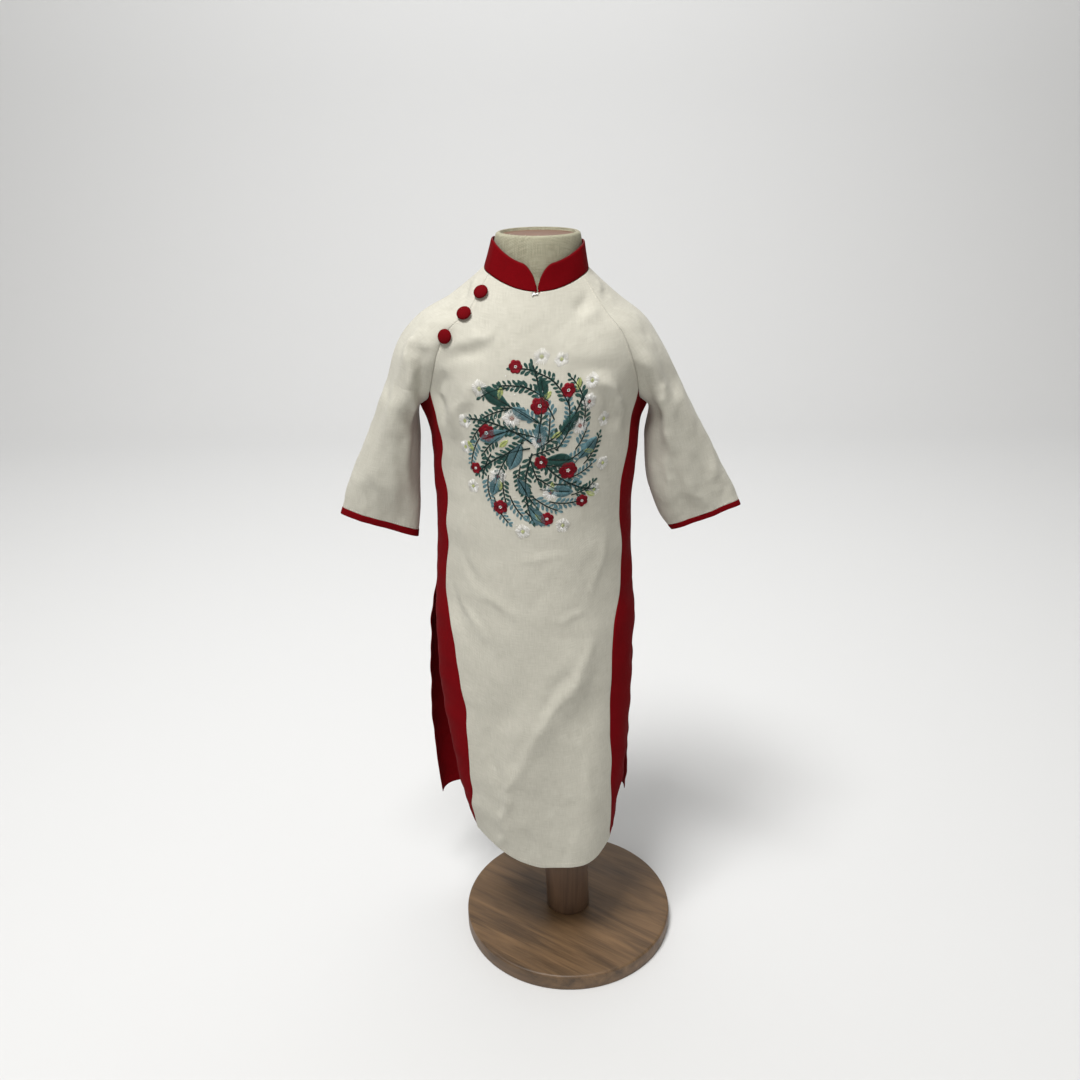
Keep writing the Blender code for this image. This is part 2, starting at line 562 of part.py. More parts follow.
def share_seams(sheets, crotch):
    """Share wall directions along raglan, strip, side and underarm seams."""
    yoke = slice(0, YOKE_ROWS - 1)
    corner = YOKE_ROWS - 1
    below = slice(YOKE_ROWS, None)
    closed = slice(1, BODY_ROWS)
    downward = (0.0, 0.0, -0.8)
    for side_name, column in (("right", 0), ("left", -1)):
        sleeve = sheets[f"sleeve_{side_name}"]
        strips = {face: sheets[f"side_{face}_{side_name}"] for face in ("front", "back")}
        for face, edge in (("front", 0), ("back", -1)):
            panel, strip = sheets[face], strips[face]
            share((panel, (yoke, column)), (sleeve, (yoke, edge)))
            share((panel, (below, column)), (strip, (slice(1, None), 0)))
            share((panel, (corner, column)), (strip, (0, 0)), (sleeve, (corner, edge)))
            under = slice(corner + 1, crotch)
            share((sleeve, (under, edge)), (strip, (0, slice(1, -1))), lean=downward)
        share((strips["front"], (closed, -1)), (strips["back"], (closed, -1)))
        share(
            (strips["front"], (0, -1)), (strips["back"], (0, -1)),
            (sleeve, (crotch, 0)), (sleeve, (crotch, -1)), lean=(0.0, 0.0, -9.0),
        )


def neckline(sheets):
    """Return the neckline as one run of points, from the front middle round by the right."""
    middle = PANEL_COLUMNS // 2
    front, back = sheets["front"].grid[0], sheets["back"].grid[0]
    right, left = sheets["sleeve_right"].grid[0], sheets["sleeve_left"].grid[0]
    runs = (front[middle:0:-1], right[:-1], back[:-1], left[::-1][:-1], front[::-1][: middle + 1])
    return np.concatenate(runs)


def build_collar(sheets, look):
    """Stand collar: leans in towards the neck, with its front corners rounded down."""
    base = neckline(sheets)
    steps = np.linalg.norm(np.diff(base, axis=0), axis=1)
    along = np.concatenate(([0.0], np.cumsum(steps)))
    length = along[-1]
    start, count = 0.6, 53
    share = np.linspace(-1, 1, count)
    spread = np.sign(share) * np.abs(share) ** 0.8
    at = length / 2 + spread * (length / 2 - start)
    base = np.stack([np.interp(at, along, base[:, k]) for k in range(3)], axis=-1)
    centre = base.mean(axis=0)
    inward = unit((centre - base) * (1, 1, 0))
    ends = np.minimum(at, length - at) / COLLAR_ROUND
    corner = np.sin(math.pi / 2 * np.clip(ends, 0, 1) ** 0.75)
    reach = (np.abs(base[:, 0] - centre[0]) / (base[:, 0].max() - centre[0])) ** 2
    reach = np.clip(reach, 0, 1)
    on_right = base[:, 0] < centre[0]
    side_height = np.where(on_right, COLLAR_HEIGHT_RIGHT, COLLAR_HEIGHT_LEFT)
    front = np.clip(-base[:, 1] / 20.0, 0, 1)
    full = side_height - (side_height - COLLAR_FRONT_HEIGHT) * (1 - reach) * front
    height = COLLAR_END + (full - COLLAR_END) * corner
    side_lean = np.where(on_right, COLLAR_LEAN_RIGHT, COLLAR_LEAN_LEFT)
    lean = COLLAR_LEAN + (side_lean - COLLAR_LEAN) * reach
    direction = unit(inward * lean[:, None] + np.array((0.0, 0.0, 1.0)))
    levels = np.array([0.012, 0.5, 1.0])
    outer = base[None] + direction[None] * (levels[:, None] * height)[..., None]
    outer[0] = base + np.array((0.0, 0.0, GAP))
    tangent = unit(np.gradient(base, axis=0))
    normal = unit(np.cross(tangent, direction))
    normal = normal * np.sign((normal * -inward).sum(axis=1).mean())
    inner = outer - normal[None] * COLLAR_CLOTH
    return wall("collar", outer, inner, look)


def build_button(name, sheet, seat_at, rows_down, look):
    """Domed covered button, standing on the panel's edge along the raglan seam."""
    row = np.array([np.interp(seat_at[0], rows_down, np.arange(len(rows_down)))])
    column = np.array([seat_at[1]])
    seat = bilinear(sheet.grid, row, column)[0]
    axis = unit(bilinear(sheet.normals, row, column)[0])
    aside = unit(np.cross(axis, (0.0, 0.0, 1.0)))
    upward = np.cross(aside, axis)
    profile = (
        (0.36, 0.0), (0.36, 0.24), (0.84, 0.26), (1.0, 0.42), (0.95, 0.66), (0.73, 0.88), (0.36, 1.0),
    )
    angle = np.linspace(0, 2 * math.pi, 18, endpoint=False)
    circle = np.cos(angle)[:, None] * aside + np.sin(angle)[:, None] * upward
    lift = GAP + BUTTON_CLEAR
    rings = [
        seat + axis * (lift + BUTTON_HEIGHT * high) + circle * BUTTON_RADIUS * wide
        for wide, high in profile
    ]
    return stack(name, rings, look)


def build_hook(sheet, look):
    """Small hook that closes the collar at its front, lying on the front panel."""
    seat = sheet.grid[0, PANEL_COLUMNS // 2] * 0.85 + sheet.grid[1, PANEL_COLUMNS // 2] * 0.15
    out = unit(sheet.normals[0, PANEL_COLUMNS // 2])
    upward = np.cross((1.0, 0.0, 0.0), out)
    centre = seat + out * (GAP + HOOK_RADIUS) - (HOOK_LENGTH * 0.6, 0.0, 0.0)
    angle = np.linspace(0, 2 * math.pi, 8, endpoint=False)
    circle = np.cos(angle)[:, None] * out + np.sin(angle)[:, None] * upward
    rings = [
        centre + (HOOK_LENGTH * along, 0.0, 0.0) + circle * HOOK_RADIUS * wide
        for along, wide in ((-0.5, 0.6), (-0.4, 1.0), (0.4, 1.0), (0.5, 0.6))
    ]
    return stack("collar_hook", rings, look)


def build_form(look):
    """Dress form: neck, shoulders, torso and a rounded lower edge, closed and smooth."""
    heights = np.concatenate((
        np.linspace(FORM["z"][0], 735.0, 15), np.linspace(735.0, 804.0, 10)[1:],
        FORM["z"][-4:],
    ))
    first = ring(FORM_BOTTOM, FORM["mid_x"][0], FORM["half"][0] - 12, FORM["front"][0] + 12,
                 FORM["back"][0] - 12)
    second = ring(FORM_BOTTOM + 3.5, FORM["mid_x"][0], FORM["half"][0] - 3.5,
                  FORM["front"][0] + 3.5, FORM["back"][0] - 3.5)
    rings = [first, second]
    for z in heights:
        values = [smooth(FORM, name, z, "z") for name in ("mid_x", "half", "front", "back")]
        rings.append(ring(z, *values))
    top_x = FORM["mid_x"][-1]
    recess = CAP_RADIUS + GAP
    for z in (NECK_TOP, NECK_TOP - CAP_SINK - CAP_HEIGHT - GAP):
        rings.append(ring(z, top_x, recess + CAP_OVAL, -recess - CAP_OVAL, recess))
    return stack("form_body", rings, look)


def build_cap(look):
    """Wooden disc let into the top of the neck."""
    top_x = FORM["mid_x"][-1]
    top = NECK_TOP - CAP_SINK
    edge = ((top - CAP_HEIGHT, CAP_RADIUS), (top - 0.8, CAP_RADIUS), (top, CAP_RADIUS - 0.8))
    rings = [
        ring(z, top_x, radius + CAP_OVAL, -radius - CAP_OVAL, radius) for z, radius in edge
    ]
    return stack("neck_cap", rings, look)


def build_stand(look_pole, look_base):
    """Turned post with a thick foot, on a round base with eased edges."""
    profile = (
        (BASE_HEIGHT + GAP, 26.5), (112.0, 26.5), (118.0, 25.0), (126.0, 19.0),
        (134.0, 17.0), (FORM_BOTTOM - GAP, 17.0),
    )
    stack("stand_pole", [round_ring(z, radius) for z, radius in profile], look_pole)
    ease = 3.0
    edge = (
        (0.0, BASE_RADIUS - 1.5), (1.5, BASE_RADIUS), (BASE_HEIGHT - ease, BASE_RADIUS),
        (BASE_HEIGHT - 0.9, BASE_RADIUS - 0.9), (BASE_HEIGHT, BASE_RADIUS - ease),
    )
    stack("stand_base", [round_ring(z, radius, 56, lean=False) for z, radius in edge], look_base)


def main():
    """Clear the scene and build every piece."""
    for old in list(bpy.data.objects):
        bpy.data.objects.remove(old)
    cream = material("cream_linen", (0.62, 0.57, 0.48), 0.85)
    red = material("red_cotton", (0.24, 0.008, 0.014), 0.8)
    covered = material("red_button_cloth", (0.30, 0.008, 0.014), 0.75)
    linen = material("form_linen", (0.52, 0.49, 0.40), 0.9)
    metal = material("hook_metal", (0.55, 0.55, 0.56), 0.35, 1.0)
    wood = material("stand_wood", (0.21, 0.12, 0.06), 0.45)
    sheets = cloth_sheets()
    for key, sheet in sheets.items():
        bound = key.startswith("cuff")
        look = red if bound or key.startswith("side") else cream
        sheet_object(sheet, look, CLOTH, 0.4 if bound else 0.0)
    build_collar(sheets, red)
    rows_down = np.linspace(0, UNDERARM, YOKE_ROWS)
    for number, seat_at in enumerate(BUTTON_SEATS, start=1):
        build_button(f"button_{number}", sheets["front"], seat_at, rows_down, covered)
    build_hook(sheets["front"], metal)
    build_form(linen)
    build_cap(wood)
    build_stand(wood, wood)


main()
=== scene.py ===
"""Looks of the child's ao dai on its limbless dress form.

The garment is worked out in millimetres, in the garment's own frame: x = 0 runs near its
middle, -y is the front and z is up. `to_row` moves points to the row's frame in metres.
Every cloth piece is a thin shell on the form of its solid, from the same sections, with
finer folds, seams and hems. Right and left are the wearer's.
"""

import logging
import math
from dataclasses import dataclass, field
from enum import Enum
from typing import Sequence

import bpy
import numpy as np
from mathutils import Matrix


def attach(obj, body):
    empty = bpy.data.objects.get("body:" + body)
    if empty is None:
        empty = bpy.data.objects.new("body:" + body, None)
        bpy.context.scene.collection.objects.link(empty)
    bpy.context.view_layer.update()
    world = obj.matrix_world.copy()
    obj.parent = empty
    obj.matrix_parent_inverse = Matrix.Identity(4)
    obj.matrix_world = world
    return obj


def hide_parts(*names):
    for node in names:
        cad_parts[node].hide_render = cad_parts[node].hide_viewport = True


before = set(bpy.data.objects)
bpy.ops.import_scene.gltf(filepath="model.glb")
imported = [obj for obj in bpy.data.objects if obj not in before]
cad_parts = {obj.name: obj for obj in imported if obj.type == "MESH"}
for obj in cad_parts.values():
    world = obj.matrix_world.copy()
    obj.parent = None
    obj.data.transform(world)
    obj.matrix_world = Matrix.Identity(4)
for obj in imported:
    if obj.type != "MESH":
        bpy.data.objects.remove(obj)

Array = np.ndarray
Material = bpy.types.Material
Piece = bpy.types.Object
Node = bpy.types.Node
Socket = bpy.types.NodeSocket
Triple = tuple[float, float, float]

LOG = logging.getLogger("ao_dai")
MM = 0.001
BASE_X = 33.0
CLOTH = 1.2
COLLAR_CLOTH = 2.0
GAP = 0.3
SEAM_GAP = 0.12
SEAM_WAVE = 1.2
SEAM_WAVE_LENGTH = 46.0
UNDERARM = 104.0
GUSSET = 122.0
VENT = 315.0
HEM = 646.5
CUFF = 256.0
BINDING = 8.0
BACK_LEVEL = -0.2
HEM_CURVE_RIGHT = 1.7
HEM_CURVE_LEFT = 4.5
SEAM_PART = 0.12
EDGE_ROUND = 1.3
EDGE_SHARE = 0.45
STITCH_LINE = 6.0
SMALLEST_CUT = 0.01
FOLD_SWAY = 0.02
SWELL = 0.6
SWELL_WAVE = 62.0
RIPPLE_WAVE = 21.0
PUCKER = 0.45
PUCKER_WAVE = 9.0
PUCKER_INSET = 3.0
NECK_FADE = 14.0
UNDERARM_FADE = 60.0
STRIP_WIDTH = 36.0
GATHERS = 34


class Rows:
    """Sections of a piece: named columns, one row for each section."""

    def __init__(self, columns: str, *lines: Sequence[float]) -> None:
        """Keep the rows as named columns; the first column is where each section lies."""
        self.names = columns
        self.values = np.array(lines, dtype=float)
        self.columns = dict(zip(columns.split(), self.values.T))

    def read(self, name: str, at: Array) -> Array:
        """Read a column between its rows, on cubic pieces that never overshoot.

        Args:
            name: the column.
            at: where to read it, in the units of the first column.

        Returns:
            The column's value at each place, held at the first and last row beyond them.
        """
        x, y = self.values[:, 0], self.columns[name]
        at = np.clip(np.asarray(at, dtype=float), x[0], x[-1])
        rate = np.diff(y) / np.diff(x)
        before, after = rate[:-1], rate[1:]
        turning = before * after <= 0
        total = np.where(turning, 1.0, before + after)
        inner = np.where(turning, 0.0, 2 * before * after / total)
        slope = np.concatenate((rate[:1], inner, rate[-1:]))
        i = np.clip(np.searchsorted(x, at, side="right") - 1, 0, len(x) - 2)
        step = x[i + 1] - x[i]
        t = (at - x[i]) / step
        start = (1 + 2 * t) * (1 - t) ** 2 * y[i] + t * (1 - t) ** 2 * step * slope[i]
        end = t * t * (3 - 2 * t) * y[i + 1] + t * t * (t - 1) * step * slope[i + 1]
        return start + end

    def reads(self, names: str, at: Array) -> Array:
        """Read several columns at once, side by side."""
        return np.stack([self.read(name, at) for name in names.split()], -1)

    def joined(self, other: "Rows") -> "Rows":
        """Return these rows followed by another table's rows with the same columns."""
        return Rows(self.names, *self.values, *other.values)


# Sleeve sections: outermost point, half width, wrap of the cloth round it (degrees),
# half depth to front and back, rise towards the back, and drop towards the body.
SLEEVE_RIGHT = Rows(
    "down  out_x  out_z  half  wrap  front  back  rise  drop",
    (0, 48.5, 806.5, 11, 60, 30, 27.7, 0.05, 0.3),
    (26, 80, 781, 26, 72, 48.4, 44, 0.17, 0),
    (52, 114.5, 761, 40.5, 82, 54.5, 54, 0.09, -0.06),
    (78, 138, 732, 36, 102, 54, 53, 0.055, 0),
    (104, 149.5, 699, 29, 125, 44, 44, 0, 0.14),
    (122, 156, 682, 18.8, 180, 42.5, 42.5, 0, 0.35),
    (150, 168, 650, 24, 180, 38, 38, 0, 0.32),
    (195, 187.5, 606, 32.4, 180, 29, 31, 0, 0.3),
    (225, 199, 579, 37.4, 180, 20, 27, -0.12, 0.33),
    (258, 210, 548, 40.7, 180, 13, 23, -0.25, 0.34),
)
SLEEVE_LEFT = Rows(
    "down  out_x  out_z  half  wrap  front  back  rise  drop",
    (0, 53.8, 804.5, 11, 60, 30, 27.7, 0.05, 0.3),
    (26, 82.5, 779, 21, 72, 47.4, 44, 0.17, 0),
    (52, 110, 757, 32, 82, 53.5, 54, 0.09, -0.06),
    (78, 129, 729, 29, 102, 54, 53, 0.055, 0),
    (104, 144, 698, 26.7, 125, 44, 44, 0, 0.14),
    (122, 152.5, 681, 18.8, 180, 42.5, 42.5, 0, 0.35),
    (150, 168.5, 650.5, 28, 180, 36, 36, 0, 0.32),
    (195, 193.5, 604, 37.5, 180, 26, 27, 0, 0.34),
    (225, 207.5, 578, 39, 180, 19, 26, -0.15, 0.37),
    (258, 218, 553, 36, 180, 14, 27, -0.32, 0.385),
)
# Body above the vents: the side seams.
SIDES = Rows(
    "down  right_x  left_x  side_y  side_z",
    (104, -116.4, 114.9, 0, 669),
    (128, -110.5, 108, 0, 651),
    (154, -107.5, 106.3, 0, 632),
    (190, -106.6, 103.3, 0, 599),
    (228, -106.2, 100.2, 0, 562),
    (270, -107.4, 101, 0, 520),
    (315, -110.5, 103.5, 0, 475),
)
# Flaps below the vents: their free side edges.
FRONT_EDGES = Rows(
    "down  right_x  left_x  side_y  side_z",
    (353, -112, 105, -12, 437),
    (412, -111, 104, -19, 378),
    (450, -108, 102.5, -22, 340),
    (519, -98.5, 99, -25, 271),
    (590, -86, 89.5, -26, 200),
    (646.5, -76, 84, -26, 143.5),
)
BACK_EDGES = Rows(
    "down  right_x  left_x  side_y  side_z",
    (353, -118, 107.5, 12, 437),
    (412, -124.5, 108.5, 21, 378),
    (450, -127, 108, 28, 340),
    (519, -129.5, 107.5, 37, 271),
    (590, -127, 107.5, 45, 200),
    (646.5, -123.5, 107, 50, 143.5),
)
# Cream panels: middle line, side-strip seams, how square the section is, how far each half
# stays flat before it turns towards its seam, and how far the hem curves up at each side.
PANEL_COLUMNS = "down mid_x mid_y mid_z right_x left_x square bow_right bow_left rise_right rise_left"
FRONT = Rows(
    PANEL_COLUMNS,
    (0, 4, -50, 790, -43, 50, 2, 2.2, 2.2, 0, 0),
    (26, 3, -62, 764, -62, 68, 2, 2.4, 2.4, 0, 0),
    (52, 2, -72.5, 738, -79, 82, 2, 2.6, 2.6, 0, 0),
    (78, 0, -80, 712, -94, 93, 2, 2.8, 2.8, 0, 0),
    (104, -1, -84, 686, -104, 102, 2, 2.7, 2.7, 0, 0),
    (128, -2, -85, 662, -97.5, 94.8, 2, 2.5, 2.5, 0, 0),
    (154, -2, -84, 636, -93.4, 91.5, 2, 2.4, 2.4, 0, 0),
    (175, -3, -83, 615, -96, 88.8, 2, 2.4, 2.4, 0, 0),
    (203, -3, -82.2, 587, -91.6, 86, 2, 2.4, 2.4, 0, 0),
    (228, -3, -82, 562, -92, 85.4, 2, 2.4, 2.4, 0, 0),
    (270, -3, -84, 520, -94, 88, 2, 2.4, 2.4, 0, 0),
    (315, -3, -86, 475, -97.5, 86.5, 2, 2.4, 2.4, 0, 0),
    (353, -2, -87.5, 437, -91.8, 81, 2, 2.4, 2.6, 0, 0),
    (412, 0, -88, 378, -84.5, 77.5, 2.1, 2.3, 3, 0, 0),
    (450, 3, -88, 340, -80, 76.5, 2.2, 2.2, 3.2, 0, 0),
    (519, 10, -88, 271, -78, 79.5, 2.5, 2.2, 3.4, 0, 0),
    (590, 14, -87, 200, -76.5, 80.5, 2.9, 2.2, 3.6, 12, 6),
    (646.5, 16, -86, 143.5, -72, 80, 3.1, 2.2, 3.6, 40, 28),
)
BACK = Rows(
    PANEL_COLUMNS,
    (0, 4, 42, 802, -40, 47, 2, 2.2, 2.2, 0, 0),
    (26, 3, 56, 780, -60, 66, 2, 2.4, 2.4, 0, 0),
    (52, 2, 68, 754.5, -80, 82, 2, 2.6, 2.6, 0, 0),
    (78, 0, 75, 723, -95, 93, 2, 2.8, 2.8, 0, 0),
    (104, -1, 78, 688, -104, 102, 2, 2.7, 2.7, 0, 0),
    (128, -2, 78.5, 662, -98, 95.5, 2, 2.5, 2.5, 0, 0),
    (154, -2, 77.5, 636, -95, 93.5, 2, 2.4, 2.4, 0, 0),
    (190, -3, 74.5, 600, -94, 90.5, 2, 2.4, 2.4, 0, 0),
    (228, -3, 73, 562, -93, 87.5, 2, 2.4, 2.4, 0, 0),
    (270, -3, 76, 520, -94, 88.5, 2, 2.4, 2.4, 0, 0),
    (315, -3, 80, 475, -97, 90.5, 2, 2.4, 2.4, 0, 0),
    (353, -4, 82.5, 437, -99, 90, 2, 2.5, 2.5, 0, 0),
    (412, -6, 84.5, 378, -101, 88, 2.2, 2.7, 2.7, 0, 0),
    (450, -8, 85, 340, -102, 86.5, 2.4, 2.8, 2.8, 0, 0),
    (519, -9, 85, 271, -102, 85, 2.6, 3, 3, 0, 0),
    (590, -9, 84, 200, -100, 84, 2.8, 3, 3, 2, 2),
    (646.5, -8, 83, 147, -96.5, 83, 2.9, 3, 3, 8, 10),
)
# Dress form: centre, half width, front and back at each height.
FORM = Rows(
    "z  mid_x  half  front  back",
    (404, 16.8, 77, -70, 62),
    (440, 15.6, 81, -74, 66),
    (480, 14.2, 82.5, -74, 65),
    (530, 12.6, 82, -71.5, 62),
    (570, 11.2, 83, -72, 61),
    (620, 8.8, 89.5, -78, 71),
    (665, 6.2, 94, -80, 74),
    (705, 4.4, 97, -74, 72),
    (735, 3.5, 99, -66.5, 64),
    (752, 3.3, 96, -61, 58.5),
    (764, 3.3, 90.3, -55.5, 54.5),
    (774, 3.4, 81, -51, 50.5),
    (784, 3.8, 68, -46.5, 46.5),
    (794, 4.6, 52.5, -42.5, 42.5),
    (804, 4.8, 45.4, -41, 37),
    (818, 4.6, 43.4, -41, 35.6),
    (831, 4.6, 42.2, -41, 36),
    (837.5, 4.8, 40.8, -40, 35.4),
    (839, 5, 38.8, -38.6, 34.6),
)

# Folds of each piece: ends as (across, down), width and height; ridges are positive.
# Across is in hundredths of the way from the middle to an edge. The sharper creases lie over
# the main folds, and the solids leave them out.
FOLD_COLUMNS = "across_a  down_a  across_b  down_b  width  height"
FRONT_FOLDS = Rows(
    FOLD_COLUMNS,
    (68, 352, 48, 401, 24, 3.5), (48, 401, -6, 456, 25, 4), (-6, 456, -50, 528, 25, 4),
    (-50, 528, -56, 610, 24, 3.5), (58, 82, 80, 110, 9, 2.6), (80, 110, 90, 135, 9, 2.2),
    (-70, 96, -92, 140, 11, 2.6), (42, 72, 86, 80, 10, -2.2), (40, 60, 80, 64, 9, 1),
    (-86, 57, -56, 40, 6, 1.5), (-84, 66, -60, 56, 8, -1.4), (-78, 70, -92, 104, 9, -1.6),
    (90, 12, 62, 24, 7, -1.2), (92, 24, 74, 36, 6, 0.9), (70, 122, 86, 168, 10, -1.3),
    (-88, 150, -72, 196, 16, -2.4), (-66, 190, -84, 258, 14, 1.2), (62, 186, 84, 236, 14, 1),
    (-30, 222, 30, 236, 12, 0.8), (-80, 330, -50, 372, 16, -1.6), (10, 330, 46, 300, 20, 1.2),
    (80, 388, 66, 452, 14, -1.8), (20, 470, 62, 440, 18, -2.2), (-30, 420, -72, 470, 18, -2),
    (78, 470, 70, 560, 15, 1.4), (5, 520, 10, 626, 22, -1.8), (-88, 520, -80, 590, 12, 1.2),
    (42, 560, 40, 640, 16, 1.4), (-90, 420, -98, 436, 8, 1.2),
    # sharper creases
    (66, 82, 80, 106, 4.5, 3.6), (80, 106, 90, 136, 4.5, 3), (60, 92, 80, 128, 5, -3),
    (-84, 136, -66, 100, 7, 3.4), (-66, 100, -56, 84, 6.5, 2.2), (-91, 90, -93, 124, 6.5, -7.5),
    (-90, 152, -66, 100, 9, -2.4), (90, 11, 66, 18, 5, -3), (94, 22, 66, 29, 5, 2.2),
    (68, 359, 48, 401, 6.3, 2.4), (48, 401, -6, 456, 7.2, 2.7), (-6, 456, -50, 528, 7.2, 2.4),
    (-50, 528, -60, 578, 5, 2.6), (-60, 578, -66, 632, 5, 2.2), (-92, 296, -86, 352, 8, -3.6),
    (56, 372, 10, 428, 8.1, -2.4), (10, 428, -40, 500, 8.1, -2.1), (-90, 300, -62, 352, 5.4, 1.8),
    (-80, 262, -60, 300, 5.4, -1.5), (84, 236, 66, 300, 5.4, 1.7), (-60, 300, -20, 322, 6.3, 1.4),
    (-10, 262, 30, 256, 4.5, 1), (30, 330, 52, 322, 4.5, 1.2), (-74, 470, -60, 540, 6.3, -1.8),
    (60, 500, 70, 600, 7.2, 1.8), (30, 560, 20, 636, 7.2, -1.5), (-30, 580, -16, 640, 6.3, 1.4),
    (-98, 69, -80, 58, 4, 2.8), (-80, 58, -60, 45, 4.5, 1.8), (-97, 79, -60, 58, 5, -2.2),
)
BACK_FOLDS = Rows(
    FOLD_COLUMNS,
    (-55, 340, -30, 620, 26, 4), (45, 330, 60, 630, 26, -4), (70, 110, 25, 200, 20, 2),
    (-72, 84, -90, 132, 10, 2.2), (74, 80, 92, 126, 9, 2), (-50, 66, 40, 72, 14, 0.9),
    (-20, 200, 55, 232, 15, 1.2), (-60, 208, -10, 190, 12, -1.2), (-85, 160, -70, 250, 12, 1.1),
    (86, 180, 72, 268, 13, -1.1), (15, 380, 5, 560, 20, 1.8), (-75, 420, -82, 600, 15, -1.8),
    (82, 400, 80, 520, 13, 1.3),
    # sharper creases
    (70, 90, 84, 124, 5, 3.6), (-66, 86, -86, 130, 5, 4), (-60, 96, -76, 140, 6, -3),
    (62, 352, 20, 430, 7.6, 4), (20, 430, -24, 500, 7.6, 3.2), (-70, 300, -40, 350, 6.6, -3),
    (84, 250, 62, 310, 5.8, 2.8), (-20, 250, 24, 244, 5, 2), (-50, 540, -36, 636, 7.6, 3),
    (44, 560, 52, 640, 6.8, -2.6), (-82, 372, -34, 452, 6.4, 2.6), (10, 148, 62, 176, 6, 1.8),
)
SLEEVE_RIGHT_FOLDS = Rows(
    FOLD_COLUMNS,
    (-50, 62, -62, 116, 9, 4), (-62, 116, -64, 215, 12, 2.2), (-75, 72, -79, 90, 9, -5),
    (-60, 62, -90, 66, 6, 2), (-30, 74, -34, 150, 12, -1.6), (-80, 128, -84, 200, 9, -2),
    (-42, 150, -46, 236, 10, -1.3), (-16, 120, -20, 230, 12, 1.3), (-86, 190, -90, 244, 8, 1.4),
    (-55, 222, -60, 250, 7, -1), (-34, 232, -36, 250, 5, 0.7), (-66, 13, -36, 8, 3, 2.2),
    (-66, 19, -30, 14, 3, -2), (50, 90, 60, 230, 13, -3), (30, 70, 36, 160, 11, 1.8),
    (76, 100, 84, 210, 11, 1.8), (70, 66, 88, 100, 10, -2.4), (8, 96, 12, 190, 12, -1),
    # sharper creases
    (-50, 68, -72, 96, 4.5, 3.8), (-70, 92, -78, 128, 4.8, 4.2), (-73, 77, -86, 95, 7, -3.2),
    (-86, 92, -91, 112, 7.5, -7), (-52, 67, -97, 70, 3.8, 2.8), (-76, 116, -70, 200, 6.3, 2.1),
    (-40, 99, -39, 153, 7.2, 2.1), (-26, 120, -20, 200, 7.2, -2.2), (-62, 148, -70, 236, 6.3, -2.4),
    (-40, 190, -50, 240, 5.4, 1.5), (-6, 150, -2, 232, 7.2, 1.8), (-62, 30, -30, 40, 4.5, -1.4),
    (-80, 44, -50, 52, 4.5, 1.2), (56, 84, 68, 120, 4.5, 3.6), (72, 82, 84, 112, 4.5, -4.5),
    (34, 120, 42, 210, 7.2, -2.1),
)
SLEEVE_LEFT_FOLDS = Rows(
    FOLD_COLUMNS,
    (-84, 70, -58, 108, 9, 3.2), (-58, 108, -56, 145, 10, 2.6), (-40, 70, -34, 130, 16, -1.8),
    (-92, 92, -84, 116, 8, -2.4), (-70, 64, -40, 58, 8, -1.2), (-22, 76, -18, 150, 12, 1.8),
    (-74, 130, -66, 196, 10, -2.4), (-46, 156, -52, 226, 10, 1.6), (-28, 160, -30, 244, 11, -1.6),
    (-84, 176, -80, 246, 9, 1.6), (-66, 222, -62, 250, 7, -1.2), (-44, 232, -42, 250, 5, 0.8),
    (-70, 12, -36, 9, 3, 2), (-78, 17, -36, 16, 3, -2.2), (50, 90, 42, 230, 13, -3),
    (28, 66, 22, 150, 11, 1.8), (80, 98, 70, 205, 11, 1.8), (84, 66, 72, 96, 9, -2.2),
    # sharper creases
    (-74, 84, -60, 112, 5.5, 1.4), (-62, 104, -58, 160, 5, 2.2), (-59, 146, -66, 206, 6, 2),
    (-86, 92, -76, 128, 7, -3), (-76, 128, -78, 168, 8, -2.4), (-44, 92, -42, 142, 8, -1),
    (-84, 62, -50, 67, 6, 1.6), (-69, 172, -70, 230, 6.5, 2), (-60, 184, -58, 230, 6, -1.8),
    (-50, 200, -46, 232, 5, 1.7), (-34, 130, -30, 196, 8, -1.6), (-10, 152, -20, 200, 7.2, 1.8),
    (-22, 210, -26, 240, 5.4, -1.4), (-66, 30, -30, 44, 4.5, 1.4), (58, 88, 50, 128, 4.5, 3.6),
    (76, 84, 66, 118, 5, -4.5), (36, 130, 30, 214, 7.2, -2.1),
)



def unit(vectors: Array) -> Array:
    """Return the vectors at length one."""
    return vectors / np.maximum(np.linalg.norm(vectors, axis=-1, keepdims=True), 1e-9)


def to_row(points: Array) -> Array:
    """Return garment points, in millimetres, in the row's frame in metres."""
    return (np.asarray(points, dtype=float) - (BASE_X, 0.0, 0.0)) * MM


def clustered(start: float, end: float, count: int, near: Sequence[float]) -> Array:
    """Return even steps from start to end, with extra ones close to both ends.

    Args:
        start: the first value.
        end: the last value.
        count: how many even steps fill the middle.
        near: distances from each end at which an extra value lies.
    """
    near = np.asarray(near, dtype=float)
    middle = np.linspace(start + near[-1], end - near[-1], count)
    return np.concatenate(([start], start + near[:-1], middle, (end - near[:-1])[::-1], [end]))


def bilinear(grid: Array, row: Array, column: Array) -> Array:
    """Return a grid's values at fractional rows and columns: the mean of four by nearness."""
    i = np.clip(row.astype(int), 0, grid.shape[0] - 2)
    j = np.clip(column.astype(int), 0, grid.shape[1] - 2)
    a, b = (row - i)[..., None], (column - j)[..., None]
    upper = grid[i, j] * (1 - b) + grid[i, j + 1] * b
    lower = grid[i + 1, j] * (1 - b) + grid[i + 1, j + 1] * b
    return upper * (1 - a) + lower * a


def walked(points: Array, axis: int = 0) -> Array:
    """Return how far along its line each point lies from the line's first point."""
    steps = np.linalg.norm(np.diff(points, axis=axis), axis=-1)
    return np.insert(np.cumsum(steps, axis=axis), 0, 0.0, axis=axis)


